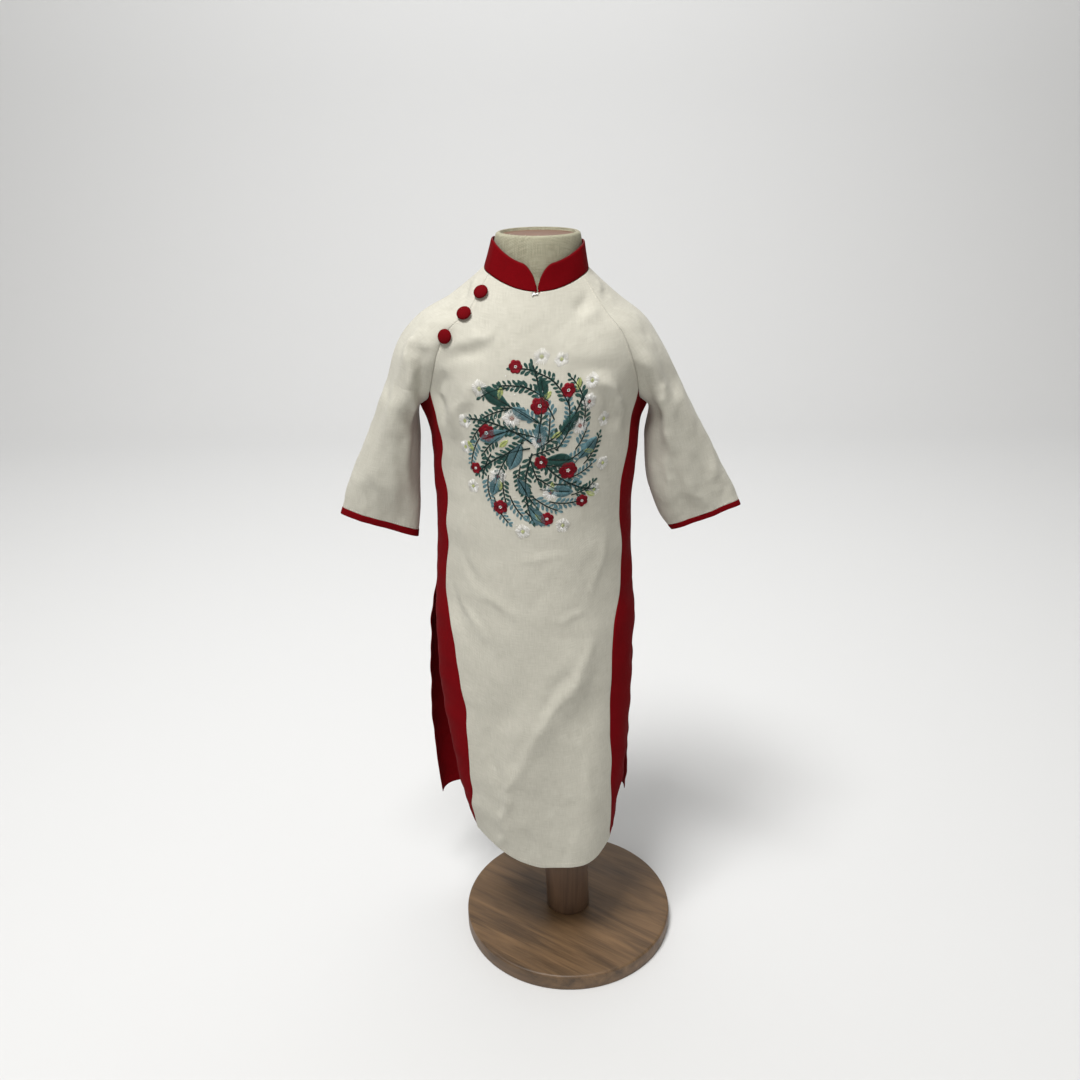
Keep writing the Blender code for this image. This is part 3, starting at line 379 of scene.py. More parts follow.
def points_along(path: Array, at: Array) -> Array:
    """Return the points of a path at distances from its start."""
    fall = walked(path)
    return np.stack([np.interp(at, fall, path[:, k]) for k in range(path.shape[1])], -1)


def evenly(path: Array, step: float) -> Array:
    """Return points at an even step along a path."""
    return points_along(path, np.arange(0.0, walked(path)[-1], step))


def full_turn(count: int) -> Array:
    """Return even angles once round."""
    return np.linspace(0, 2 * math.pi, count, endpoint=False)


def rays(angle: Array) -> Array:
    """Return the flat unit vector at each angle."""
    return np.stack((np.cos(angle), np.sin(angle)), -1)


def level_rays(angle: Array) -> Array:
    """Return the level unit vector in space at each angle."""
    return np.insert(rays(angle), 2, 0.0, axis=-1)


def leftward(vectors: Array) -> Array:
    """Return flat vectors turned a quarter to the left."""
    return np.stack((-vectors[..., 1], vectors[..., 0]), -1)


def quads(*corners: Array) -> Array:
    """Return four-cornered faces from four grids of point numbers."""
    return np.stack(corners, -1).reshape(-1, 4)


def grid_normals(grid: Array, closed_from: int | None = None) -> Array:
    """Return the cross product of a grid's two slopes at length one, wrapped on closed rows."""
    down = np.gradient(grid, axis=0)
    across = np.gradient(grid, axis=1)
    if closed_from is not None:
        wrap = (grid[closed_from:, 1] - grid[closed_from:, -2]) / 2
        across[closed_from:, 0] = wrap
        across[closed_from:, -1] = wrap
    return unit(np.cross(down, across))


def facing(normals: Array, outward: Sequence[float]) -> Array:
    """Turn the normals over where the middle one points away from the outward direction."""
    middle = normals[normals.shape[0] // 2, normals.shape[1] // 2]
    return normals * (1.0 if middle @ np.array(outward, dtype=float) > 0 else -1.0)


def ripple(u: Array, v: Array, seed: int, wave: float, waves: int = 9) -> Array:
    """Return gentle uneven swells: a sum of sine waves at random angles and lengths.

    Args:
        u: distance across the cloth, in millimetres.
        v: distance down the cloth, in millimetres.
        seed: which set of waves.
        wave: the middle wavelength in millimetres.
        waves: how many waves are summed.

    Returns:
        A height between about -1 and 1 at each point.
    """
    random = np.random.default_rng(seed)
    height = np.zeros_like(u)
    for _ in range(waves):
        turn = random.uniform(0, 2 * math.pi)
        length = wave * random.uniform(0.6, 1.7)
        phase = random.uniform(0, 2 * math.pi)
        height += np.sin(2 * math.pi * (u * math.cos(turn) + v * math.sin(turn)) / length + phase)
    return height / math.sqrt(waves) / 1.4


class Thread(Enum):
    """Embroidery threads: colour (linear red, green, blue) of each."""

    CRIMSON = (0.230, 0.004, 0.014)
    WHITE = (0.88, 0.87, 0.83)
    TEAL = (0.135, 0.255, 0.290)
    PINE = (0.030, 0.090, 0.078)
    STEM = (0.006, 0.020, 0.018)
    BUD = (0.50, 0.56, 0.22)


@dataclass(frozen=True)
class Stitches:
    """Many stitches lying on the cloth: where each starts and ends, its width and height."""

    start: Array
    end: Array
    width: Array
    height: Array

    @staticmethod
    def of(start: Array, end: Array, width: float, height: float) -> "Stitches":
        """Return stitches of one width and height."""
        return Stitches(start, end, np.full(len(start), width), np.full(len(start), height))

    @staticmethod
    def joined(parts: Sequence["Stitches"]) -> "Stitches":
        """Return several sets of stitches as one."""
        names = ("start", "end", "width", "height")
        return Stitches(*(np.concatenate([getattr(part, name) for part in parts]) for name in names))


@dataclass
class Cloth:
    """One piece of cloth: a grid of outer points, its outward normals and its flat measures."""

    name: str
    grid: Array
    outward: Triple
    closed_from: int | None = None
    thickness: float = CLOTH
    proud: float = 0.0
    normals: Array = field(init=False)

    def __post_init__(self) -> None:
        """Work out the normals, facing outward."""
        self.normals = facing(grid_normals(self.grid, self.closed_from), self.outward)

    def measures(self) -> tuple[Array, Array]:
        """Return how far each point lies across from the middle column and down from the top.

        Both are sums of the steps between neighbouring points; the top row starts at its
        drop below the middle column's top, so that threads run straight across.
        """
        middle = self.grid.shape[1] // 2
        across, down = walked(self.grid, 1), walked(self.grid)
        across -= across[:, middle:middle + 1]
        down += self.grid[0, middle, 2] - self.grid[0, :, 2][None]
        return across, down

    def edge_distance(self) -> Array:
        """Return how far each point lies from the nearest free edge, along the grid's lines."""
        across, down = walked(self.grid, 1), walked(self.grid)
        sideways = np.minimum(across, across[:, -1:] - across)
        if self.closed_from is not None:
            sideways[self.closed_from:] = np.inf
        return np.minimum(sideways, np.minimum(down, down[-1:] - down))

    def trimmed(self) -> Array:
        """Return the outer points with every free edge drawn back by half a seam gap."""
        grid = self.grid.copy()
        half = SEAM_GAP / 2
        free = grid.shape[0] if self.closed_from is None else self.closed_from
        for edge, inner in ((0, 1), (-1, -2)):
            grid[:free, edge] += half * unit(self.grid[:free, inner] - self.grid[:free, edge])
            grid[edge] += half * unit(self.grid[inner] - self.grid[edge])
        if self.closed_from is not None:
            k = self.closed_from
            grid[k, 0] = self.grid[k, 0] + half * unit(self.grid[k + 1, 0] - self.grid[k, 0])
            grid[k, -1] = grid[k, 0]
        return grid

    def faces_of_wall(self) -> tuple[Array, Array, Array]:
        """Return outer points, inner points and the wall's faces, with rounded free edges.

        The wall's half thickness follows a quarter circle over the last EDGE_ROUND
        millimetres before a free edge, from EDGE_SHARE of it up to the whole.
        """
        outer = self.trimmed()
        away = np.clip(self.edge_distance() / EDGE_ROUND, 0, 1)
        share = EDGE_SHARE + (1 - EDGE_SHARE) * np.sqrt(1 - (1 - away) ** 2)
        whole = self.thickness + self.proud
        middle = outer + self.normals * (self.proud - whole / 2)
        reach = self.normals * (whole / 2 * share)[..., None]
        rows, columns = self.grid.shape[:2]
        index = np.arange(rows * columns).reshape(rows, columns)
        if self.closed_from is not None:
            index[self.closed_from:, -1] = index[self.closed_from:, 0]
        inside = index + rows * columns
        free = rows if self.closed_from is None else self.closed_from + 1
        left, right = slice(0, free - 1), slice(1, free)
        faces = (
            quads(index[:-1, :-1], index[1:, :-1], index[1:, 1:], index[:-1, 1:]),
            quads(inside[:-1, :-1], inside[:-1, 1:], inside[1:, 1:], inside[1:, :-1]),
            quads(index[0, :-1], index[0, 1:], inside[0, 1:], inside[0, :-1]),
            quads(index[-1, 1:], index[-1, :-1], inside[-1, :-1], inside[-1, 1:]),
            quads(index[right, 0], index[left, 0], inside[left, 0], inside[right, 0]),
            quads(index[left, -1], index[right, -1], inside[right, -1], inside[left, -1]),
        )
        return middle + reach, middle - reach, np.concatenate(faces)

    def cut(self) -> Triple:
        """Return the flat width, length and area of the cut, in metres.

        The width is the widest row, the length the longest column, and the area the sum of
        the outer surface's cells.
        """
        width, length = walked(self.grid, 1)[:, -1].max(), walked(self.grid)[-1].max()
        first = self.grid[1:, 1:] - self.grid[:-1, :-1]
        second = self.grid[1:, :-1] - self.grid[:-1, 1:]
        area = np.linalg.norm(np.cross(first, second), axis=-1).sum() / 2
        return width * MM, length * MM, area * MM * MM

    def place(self, u: Array, v: Array, lift: Array) -> Array:
        """Return points on the cloth at flat measures (u, v), lifted along its normals.

        Args:
            u: distance across from the middle column, in millimetres.
            v: distance down the middle column from the top, in millimetres.
            lift: height above the outer surface, in millimetres.
        """
        across, down = self.measures()
        middle = self.grid.shape[1] // 2
        row = np.interp(v, down[:, middle], np.arange(len(down)))
        i = np.clip(row.astype(int), 0, len(down) - 2)
        part = (row - i)[:, None]
        line = across[i] * (1 - part) + across[i + 1] * part
        j = np.clip((line < u[:, None]).sum(axis=1) - 1, 0, line.shape[1] - 2)
        every = np.arange(len(u))
        low, high = line[every, j], line[every, j + 1]
        column = j + (u - low) / (high - low)
        outer = bilinear(self.grid, row, column) + bilinear(self.normals, row, column) * self.proud
        return outer + unit(bilinear(self.normals, row, column)) * lift[:, None]


class NodeBuilder:
    """Short hand for the nodes and links of one material or node group."""

    def __init__(self, tree: bpy.types.NodeTree) -> None:
        """Work in this node tree."""
        self.tree = tree

    def add(self, kind: str, **values: object) -> Node:
        """Add a node and fill it in."""
        return self.fill(self.tree.nodes.new(kind), **values)

    def fill(self, node: Node, **values: object) -> Node:
        """Set a node's properties and, by name, its inputs."""
        for name, value in values.items():
            if hasattr(node, name):
                setattr(node, name, value)
            else:
                self.put(value, node.inputs[name.replace("_", " ")])
        return node

    def put(self, value: object, target: Socket) -> None:
        """Link a socket to the target, or set a number, vector or colour on it."""
        if isinstance(value, Socket):
            self.tree.links.new(value, target)
        else:
            target.default_value = (*value, 1.0) if target.type == "RGBA" else value

    def math(self, operation: str, *values: object) -> Socket:
        """Add a Math node on sockets or numbers and return its output."""
        node = self.add("ShaderNodeMath", operation=operation)
        for socket, value in zip(node.inputs, values):
            self.put(value, socket)
        return node.outputs[0]

    def plus(self, first: object, second: object) -> Socket:
        """Return the sum of two sockets or numbers."""
        return self.math("ADD", first, second)

    def times(self, first: object, second: object) -> Socket:
        """Return the product of two sockets or numbers."""
        return self.math("MULTIPLY", first, second)

    def widened(self, value: Socket, middle: float, rate: float) -> Socket:
        """Return how far a value lies above a middle, times a rate."""
        return self.times(self.math("SUBTRACT", value, middle), rate)

    def clamped(self, value: Socket) -> Socket:
        """Return a value held between 0 and 1."""
        return self.math("MINIMUM", self.math("MAXIMUM", value, 0.0), 1.0)

    def mix(self, share: Socket, first: Triple, second: Triple) -> Socket:
        """Add a mix of two colours and return its output."""
        node = self.add("ShaderNodeMix", data_type="RGBA")
        for number, value in ((0, share), (6, first), (7, second)):
            self.put(value, node.inputs[number])
        return node.outputs[2]

    def noise(self, place: Socket, **values: object) -> Socket:
        """Add a noise texture at a place and return its height."""
        return self.add("ShaderNodeTexNoise", Vector=place, **values).outputs[0]

    def bump(self, height: Socket, strength: float, distance: float) -> Socket:
        """Add a bump of a height, its distance in metres, and return its normal."""
        return self.add("ShaderNodeBump", Strength=strength, Distance=distance, Height=height).outputs[0]

    def on_object(self) -> Socket:
        """Return the place in Object coordinates."""
        return self.add("ShaderNodeTexCoord").outputs["Object"]


def new_look(name: str) -> tuple[Material, NodeBuilder, Node]:
    """Return a new material, its node builder and its shader."""
    made = bpy.data.materials.new(name)
    made.use_nodes = True
    return made, NodeBuilder(made.node_tree), made.node_tree.nodes["Principled BSDF"]


def new_group(name: str, inputs: dict[str, float], outputs: Sequence[str]) -> tuple[NodeBuilder, Node, Node]:
    """Make a shader node group on a vector "Place", other number inputs, and number outputs.

    Args:
        name: the group's name.
        inputs: each number input with its first value.
        outputs: the number outputs.

    Returns:
        The group's builder, its input node and its output node.
    """
    group = bpy.data.node_groups.new(name, "ShaderNodeTree")
    group.interface.new_socket("Place", in_out="INPUT", socket_type="NodeSocketVector")
    for key, value in inputs.items():
        made = group.interface.new_socket(key, in_out="INPUT", socket_type="NodeSocketFloat")
        made.default_value = value
    for key in outputs:
        group.interface.new_socket(key, in_out="OUTPUT", socket_type="NodeSocketFloat")
    build = NodeBuilder(group)
    return build, build.add("NodeGroupInput"), build.add("NodeGroupOutput")


class Effects:
    """Shared surface effects, each a node group built once."""

    def __init__(self) -> None:
        """Build the groups."""
        self.weave = self._weave()
        self.mottle = self._mottle()
        self.grain = self._grain()

    @staticmethod
    def _weave() -> bpy.types.NodeTree:
        """Plain weave: thread height is sin(pi u) sin(pi v) with slubs along both threads."""
        build, entry, leave = new_group("plain_weave", {"Pitch": 0.8, "Slub": 0.5}, ("Height", "Shade"))
        x, y, _ = build.add("ShaderNodeSeparateXYZ", Vector=entry.outputs["Place"]).outputs
        streaks = []
        for along, across in ((70.0, 1350.0), (1350.0, 70.0)):
            place = build.add("ShaderNodeCombineXYZ", X=build.times(x, along), Y=build.times(y, across))
            streak = build.noise(place.outputs[0], Scale=1.0, Detail=3.0, Roughness=0.65)
            streaks.append(build.math("SUBTRACT", streak, 0.5))
        waves = []
        for place, streak in zip((x, y), reversed(streaks)):
            thread = build.math("DIVIDE", build.times(place, 1000.0), entry.outputs["Pitch"])
            bent = build.plus(thread, build.times(streak, 0.35))
            waves.append(build.math("SINE", build.times(bent, math.pi)))
        product = build.times(*waves)
        slub = build.times(build.plus(*streaks), entry.outputs["Slub"])
        for name, depth in (("Height", 0.5), ("Shade", 0.10)):
            total = build.plus(build.times(product, depth), slub)
            build.put(build.plus(total, 0.5), leave.inputs[name])
        return build.tree

    @staticmethod
    def _mottle() -> bpy.types.NodeTree:
        """Uneven tone: two sizes of soft noise, about 60 mm and 9 mm across."""
        build, entry, leave = new_group("uneven_tone", {"Size": 0.06}, ("Tone",))
        tones = []
        for scale, share in ((1.0, 0.6), (6.5, 0.4)):
            size = build.math("DIVIDE", scale, entry.outputs["Size"])
            tone = build.noise(entry.outputs["Place"], Scale=size, Detail=3.0, Roughness=0.55)
            tones.append(build.times(tone, share))
        build.fill(leave, Tone=build.plus(*tones))
        return build.tree

    @staticmethod
    def _grain() -> bpy.types.NodeTree:
        """Wood grain: noise drawn out along one axis, in broad bands and in fine pores."""
        build, entry, leave = new_group("wood_grain", {"Along": 8.0, "Across": 90.0}, ("Band", "Pore"))
        x, y, z = build.add("ShaderNodeSeparateXYZ", Vector=entry.outputs["Place"]).outputs
        for name, finer, detail in (("Band", 1.0, 4.0), ("Pore", 9.0, 2.0)):
            stretch = build.times(entry.outputs["Along"], math.sqrt(finer))
            thin = build.times(entry.outputs["Across"], finer)
            place = build.add("ShaderNodeCombineXYZ", X=build.times(x, stretch), Y=build.times(y, thin),
                              Z=build.times(z, thin))
            grain = build.noise(place.outputs[0], Scale=1.0, Detail=detail, Roughness=0.6, Distortion=0.6)
            build.put(grain, leave.inputs[name])
        return build.tree


@dataclass(frozen=True)
class ClothFinish:
    """A woven cloth: its colours, thread pitch in millimetres, slubs, bump, sheen and gloss."""

    name: str
    light: Triple
    dark: Triple
    pitch: float
    slub: float
    bump: float
    sheen: float = 0.0
    gloss: float = 0.06
    roughness: float = 0.9

    def build(self, effects: Effects) -> Material:
        """Return the material; the weave follows the piece's own flat measures (its UV map)."""
        made, build, shader = new_look(self.name)
        flat = build.add("ShaderNodeUVMap", uv_map="cloth").outputs[0]
        weave = build.add(
            "ShaderNodeGroup", node_tree=effects.weave, Pitch=self.pitch, Slub=self.slub, Place=flat
        )
        mottle = build.add("ShaderNodeGroup", node_tree=effects.mottle, Place=build.on_object())
        tone = build.plus(build.times(weave.outputs["Shade"], 0.7), build.times(mottle.outputs["Tone"], 0.3))
        share = build.clamped(build.plus(build.widened(tone, 0.5, 2.2), 0.5))
        build.fill(
            shader, Base_Color=build.mix(share, self.dark, self.light), Roughness=self.roughness,
            Sheen_Weight=self.sheen, Sheen_Roughness=0.5, Specular_IOR_Level=self.gloss,
            Normal=build.bump(weave.outputs["Height"], self.bump, 0.00025),
        )
        return made


@dataclass(frozen=True)
class ThreadFinish:
    """An embroidery or sewing thread and its colour."""

    name: str
    colour: Triple

    def build(self) -> Material:
        """Return the material; the colour varies a little from stitch to stitch."""
        made, build, shader = new_look(self.name)
        shade = build.add("ShaderNodeAttribute", attribute_name="shade")
        deep = tuple(value * 0.62 for value in self.colour)
        pale = tuple(min(value * 1.30 + 0.004, 1.0) for value in self.colour)
        twist = build.noise(build.on_object(), Scale=2600.0, Detail=1.0)
        build.fill(
            shader, Base_Color=build.mix(shade.outputs["Fac"], deep, pale), Roughness=0.55,
            Specular_IOR_Level=0.15, Normal=build.bump(twist, 0.35, 0.0002),
        )
        return made


@dataclass(frozen=True)
class WoodFinish:
    """Stained wood: its colours, how its grain is turned, and its stretch along and across."""

    name: str
    light: Triple
    dark: Triple
    turn: Triple
    along: float
    across: float

    def build(self, effects: Effects) -> Material:
        """Return the material, its grain in Object coordinates."""
        made, build, shader = new_look(self.name)
        turned = build.add("ShaderNodeMapping", Vector=build.on_object(), Rotation=self.turn)
        grain = build.add(
            "ShaderNodeGroup", node_tree=effects.grain, Along=self.along, Across=self.across,
            Place=turned.outputs[0],
        )
        pore = grain.outputs["Pore"]
        band = build.widened(grain.outputs["Band"], 0.30, 2.4)
        share = build.clamped(build.plus(band, build.widened(pore, 0.5, 0.9)))
        build.fill(
            shader, Base_Color=build.mix(share, self.dark, self.light),
            Roughness=build.plus(0.42, build.times(pore, 0.25)), Coat_Weight=0.12, Coat_Roughness=0.3,
            Normal=build.bump(pore, 0.25, 0.0003),
        )
        return made


class Wardrobe:
    """All finishes of the object, built once."""

    def __init__(self) -> None:
        """Build each material."""
        effects = Effects()
        self.cream = ClothFinish(
            "cream_linen_weave", light=(0.560, 0.548, 0.482), dark=(0.385, 0.372, 0.318),
            pitch=0.85, slub=0.66, bump=0.6, sheen=0.10,
        ).build(effects)
        self.red = ClothFinish(
            "red_cotton_weave", light=(0.180, 0.001, 0.004), dark=(0.100, 0.0006, 0.002),
            pitch=0.7, slub=0.4, bump=0.35,
        ).build(effects)
        self.button = ClothFinish(
            "button_cotton", light=(0.150, 0.0015, 0.005), dark=(0.085, 0.001, 0.002),
            pitch=0.6, slub=0.4, bump=0.35,
        ).build(effects)
        self.linen = ClothFinish(
            "form_linen_weave", light=(0.41, 0.395, 0.295), dark=(0.23, 0.22, 0.155),
            pitch=1.1, slub=1.3, bump=0.8, sheen=0.05,
        ).build(effects)
        self.threads = {
            thread: ThreadFinish(f"{thread.name.lower()}_thread", thread.value).build() for thread in Thread
        }
        self.sewing = ThreadFinish("cream_sewing_thread", (0.66, 0.61, 0.52)).build()
        self.red_sewing = ThreadFinish("red_sewing_thread", (0.20, 0.010, 0.014)).build()
        self.base_wood = WoodFinish(
            "base_wood", light=(0.185, 0.106, 0.048), dark=(0.060, 0.033, 0.014),
            turn=(0.0, 0.0, 0.6), along=7.0, across=70.0,
        ).build(effects)
        self.pole_wood = WoodFinish(
            "pole_wood", light=(0.140, 0.080, 0.045), dark=(0.060, 0.032, 0.018),
            turn=(0.0, math.pi / 2, 0.0), along=6.0, across=60.0,
        ).build(effects)
        self.cap_wood = WoodFinish(
            "cap_wood", light=(0.180, 0.085, 0.045), dark=(0.090, 0.042, 0.022),
            turn=(0.0, 0.0, 0.2), along=9.0, across=80.0,
        ).build(effects)
        self.metal = self._metal()

    @staticmethod
    def _metal() -> Material:
        """Return the plated metal of the hook, with uneven polish."""
        made, build, shader = new_look("hook_plating")
        polish = build.noise(build.on_object(), Scale=900.0, Detail=2.0)
        build.fill(
            shader, Base_Color=build.mix(polish, (0.42, 0.42, 0.43), (0.70, 0.70, 0.71)), Metallic=1.0,
            Roughness=build.plus(0.2, build.times(polish, 0.3)),
        )
        return made


def make_piece(
    name: str, points: Array, faces: Array, look: Material, flat: Array | None = None,
    shade: Array | None = None,
) -> Piece:
    """Make one mesh piece that rides on the one body.

    Args:
        name: the piece's name.
        points: its points in garment millimetres.
        faces: its faces as rows of point numbers.
        look: its material.
        flat: each point's flat measures in metres, for the UV map "cloth".
        shade: each point's own tone from 0 to 1, for the attribute "shade".
    """
    mesh = bpy.data.meshes.new(name)
    used, renumbered = np.unique(faces, return_inverse=True)
    corners = renumbered.reshape(faces.shape)
    placed = to_row(points[used])
    sides = corners.shape[1]
    mesh.vertices.add(len(placed))
    mesh.vertices.foreach_set("co", placed.astype(np.float32).ravel())
    mesh.loops.add(corners.size)
    mesh.loops.foreach_set("vertex_index", corners.astype(np.int32).ravel())
    mesh.polygons.add(len(corners))
    mesh.polygons.foreach_set("loop_start", np.arange(0, corners.size, sides, dtype=np.int32))
    mesh.update(calc_edges=True)
    if signed_volume(placed, corners) < 0:
        mesh.flip_normals()
    if flat is not None:
        layer = mesh.uv_layers.new(name="cloth")
        index = np.empty(len(mesh.loops), dtype=np.int32)
        mesh.loops.foreach_get("vertex_index", index)
        layer.data.foreach_set("uv", flat[used][index].astype(np.float32).ravel())
    if shade is not None:
        attribute = mesh.attributes.new("shade", "FLOAT", "POINT")
        attribute.data.foreach_set("value", shade[used].astype(np.float32))
    mesh.validate()
    mesh.shade_smooth()
    mesh.materials.append(look)
    piece = bpy.data.objects.new(name, mesh)
    bpy.context.scene.collection.objects.link(piece)
    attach(piece, "root")
    LOG.info("%s: %d points, %d faces", name, len(placed), len(corners))
    return piece


def signed_volume(points: Array, faces: Array) -> float:
    """Return the volume inside the faces: a sixth of each fan triangle's triple product."""
    total = 0.0
    first = points[faces[:, 0]]
    for k in range(1, faces.shape[1] - 1):
        total += np.einsum("ij,ij->", first, np.cross(points[faces[:, k]], points[faces[:, k + 1]]))
    return total / 6


def lathe_faces(rings: int, sides: int) -> Array:
    """Return the quads between rings of points that close round."""
    i, j = np.meshgrid(np.arange(rings - 1), np.arange(sides), indexing="ij")
    a, b = i * sides + j, i * sides + (j + 1) % sides
    return quads(a, a + sides, b + sides, b)


def closed_lathe(name: str, rings: Array, look: Material, flat: Array | None = None) -> Piece:
    """Make a piece from rings of points whose first and last ring shrink to one point each."""
    count, sides = rings.shape[:2]
    ends = [rings[0].mean(axis=0), rings[-1].mean(axis=0)]
    points = np.concatenate((rings.reshape(-1, 3), ends))
    walls = lathe_faces(count, sides)
    around = np.arange(sides)
    after = (around + 1) % sides
    last = (count - 1) * sides
    bottom = np.stack((np.full(sides, count * sides), around, after), -1)
    top = np.stack((np.full(sides, count * sides + 1), last + after, last + around), -1)
    triangles = np.concatenate((walls[:, [0, 1, 2]], walls[:, [0, 2, 3]], bottom, top))
    if flat is not None:
        grid = flat.reshape(count, sides, 2)
        flat = np.concatenate((flat.reshape(-1, 2), [grid[0].mean(axis=0)], [grid[-1].mean(axis=0)]))
    return make_piece(name, points, triangles, look, flat)


def stitch_mesh(name: str, cloth: Cloth, stitches: Stitches, look: Material, seed: int) -> Piece:
    """Make stitches as small closed threads on a cloth, each a three-sided spindle.

    Each runs from its start to its end; two rings of three points, at a fifth and four
    fifths of its length, stand `height` above the cloth and reach `width` across.
    """
    along = stitches.end - stitches.start
    length = np.linalg.norm(along, axis=1, keepdims=True)
    aside = leftward(along) / np.maximum(length, 1e-6)
    half = aside * (stitches.width / 2)[:, None]
    count = len(along)
    places, lifts = [stitches.start], [np.full(count, -0.1)]
    for share in (0.2, 0.8):
        middle = stitches.start + along * share
        for shift, lift in ((-1.0, -0.05), (0.0, 1.0), (1.0, -0.05)):
            places.append(middle + half * shift)
            lifts.append(stitches.height * lift if lift > 0 else np.full(count, lift))
    places.append(stitches.end)
    lifts.append(np.full(count, -0.1))
    flat = np.stack(places, axis=1).reshape(-1, 2)
    lift = np.stack(lifts, axis=1).reshape(-1)
    points = cloth.place(flat[:, 0], flat[:, 1], lift)
    one = np.array([
        (0, 2, 1), (0, 3, 2), (0, 1, 3), (1, 2, 5), (1, 5, 4), (2, 3, 6), (2, 6, 5),
        (3, 1, 4), (3, 4, 6), (7, 4, 5), (7, 5, 6), (7, 6, 4),
    ])
    faces = (one[None] + 8 * np.arange(count)[:, None, None]).reshape(-1, 3)
    random = np.random.default_rng(seed)
    shade = np.repeat(np.clip(random.normal(0.5, 0.2, count), 0, 1), 8)
    return make_piece(name, points, faces, look, None, shade)


@dataclass
class Garment:
    """The sewn garment: every cloth piece, worked out from the sections at a fine step."""

    yoke_rows: int = 37
    gusset_rows: int = 9
    body_rows: int = 76
    flap_rows: int = 110
    sleeve_rows: int = 50
    panel_columns: int = 84
    strip_columns: int = 11
    sleeve_columns: int = 90
    cloths: dict[str, Cloth] = field(default_factory=dict)

    def __post_init__(self) -> None:
        """Lay out the rows and columns, then work out every piece."""
        near = np.array([0.5, 1.2, 2.2, 3.4])
        self.yoke = clustered(0.0, UNDERARM, self.yoke_rows, near)
        self.gusset = np.linspace(UNDERARM, GUSSET, self.gusset_rows)
        body = clustered(UNDERARM, VENT, self.body_rows, near)
        hem = np.array([0.4, 1.0, 1.8, 3.0, 4.2, 5.2, 5.8, 6.4, 7.2, 8.6])
        flap = np.concatenate((np.linspace(VENT, HEM - 10.5, self.flap_rows), (HEM - hem)[::-1], [HEM]))
        self.lower = np.concatenate((body, flap[1:]))
        self.whole = np.concatenate((self.yoke, self.lower[1:]))
        self.corner = len(self.yoke) - 1
        self.crotch = self.corner + len(self.gusset) - 1
        self.closed_body = len(body)
        self.panel_across = clustered(-1.0, 1.0, self.panel_columns, near / 125.0)
        self.sleeve_across = clustered(-1.0, 1.0, self.sleeve_columns, near / 100.0)
        self.share = clustered(0.0, 1.0, self.strip_columns, near / 36.0)
        arm_end = CUFF - BINDING
        arm = np.concatenate((
            np.linspace(GUSSET, arm_end - 4.0, self.sleeve_rows), arm_end - np.array([2.6, 1.5, 0.6, 0.0])
        ))
        self.sleeve_down = np.concatenate((self.yoke, self.gusset[1:], arm[1:]))
        self.edges = {"front": SIDES.joined(FRONT_EDGES), "back": SIDES.joined(BACK_EDGES)}
        tops = self._sleeves()
        self._panels(tops)
        self._share_seams()

    @staticmethod
    def sleeve_points(rows: Rows, side: int, down: Array, across: Array) -> Array:
        """Return sleeve points; across runs -1 at the front seam, 0 outermost, 1 at the back.

        Each section is an arc of `wrap` degrees on either side of its outermost point:
        x = out - half (1 - cos), y = depth sin, and z falls by `drop` towards the body.
        """
        down, across = np.meshgrid(down, across, indexing="ij")
        half = rows.read("half", down)
        angle = np.clip(np.radians(rows.read("wrap", down)) * across, -math.pi, math.pi)
        depth = np.where(across < 0, rows.read("front", down), rows.read("back", down))
        inward = half * (1 - np.cos(angle))
        y = depth * np.sin(angle)
        z = rows.read("out_z", down) + rows.read("rise", down) * np.where(y < 0, y, BACK_LEVEL * y)
        z = z - rows.read("drop", down) * inward
        return np.stack((side * (rows.read("out_x", down) - inward), y, z), axis=-1)

    @staticmethod
    def oval(edges: Rows, down: Array) -> tuple[Array, Array]:
        """Return the middle and half width of the body sections."""
        left, right = np.moveaxis(edges.reads("left_x right_x", down), -1, 0)
        return (left + right) / 2, (left - right) / 2

    def seam(self, panel: Rows, edges: Rows, down: Array, side: int) -> Array:
        """Return the strip seam: its x from the table, its y on the body section's oval.

        y = side_y + (mid_y - side_y) (1 - |x / half| ^ square) ^ (1 / square).
        """
        x = panel.read("left_x" if side > 0 else "right_x", down)
        middle, half = self.oval(edges, down)
        power = panel.read("square", down)
        share = np.clip(np.abs(x - middle) / half, 0, 1)
        side_y = edges.read("side_y", down)
        y = side_y + (panel.read("mid_y", down) - side_y) * (1 - share ** power) ** (1 / power)
        return np.stack((x, y, panel.read("mid_z", down)), -1)

    def hem_rise(self, panel: Rows, edges: Rows, down: Array, x: Array) -> Array:
        """Return how far the cloth near the hem lies above its level row: a power of |x|."""
        middle, half = self.oval(edges, np.maximum(down, UNDERARM))
        share = np.clip(np.abs(x - middle) / half, 0, 1)
        right = panel.read("rise_right", down) * share ** HEM_CURVE_RIGHT
        left = panel.read("rise_left", down) * share ** HEM_CURVE_LEFT
        return np.where(x < middle, right, left)

    def panel_points(self, panel: Rows, edges: Rows, right: Array, left: Array) -> Array:
        """Return panel points between two seams: x even, y by the power `bow`, z by the square."""
        down, across = self.whole, self.panel_across
        middle = panel.reads("mid_x mid_y mid_z", down)[:, None]
        end = np.where((across < 0)[None, :, None], right[:, None], left[:, None])
        share = np.abs(across)[None, :]
        bow = np.where(across < 0, *panel.reads("bow_right bow_left", down).T[..., None])
        power = np.stack((share + 0 * bow, share ** bow, share ** 2 + 0 * bow), -1)
        grid = middle + (end - middle) * power
        grid[..., 2] += self.hem_rise(panel, edges, down[:, None], grid[..., 0])
        return grid

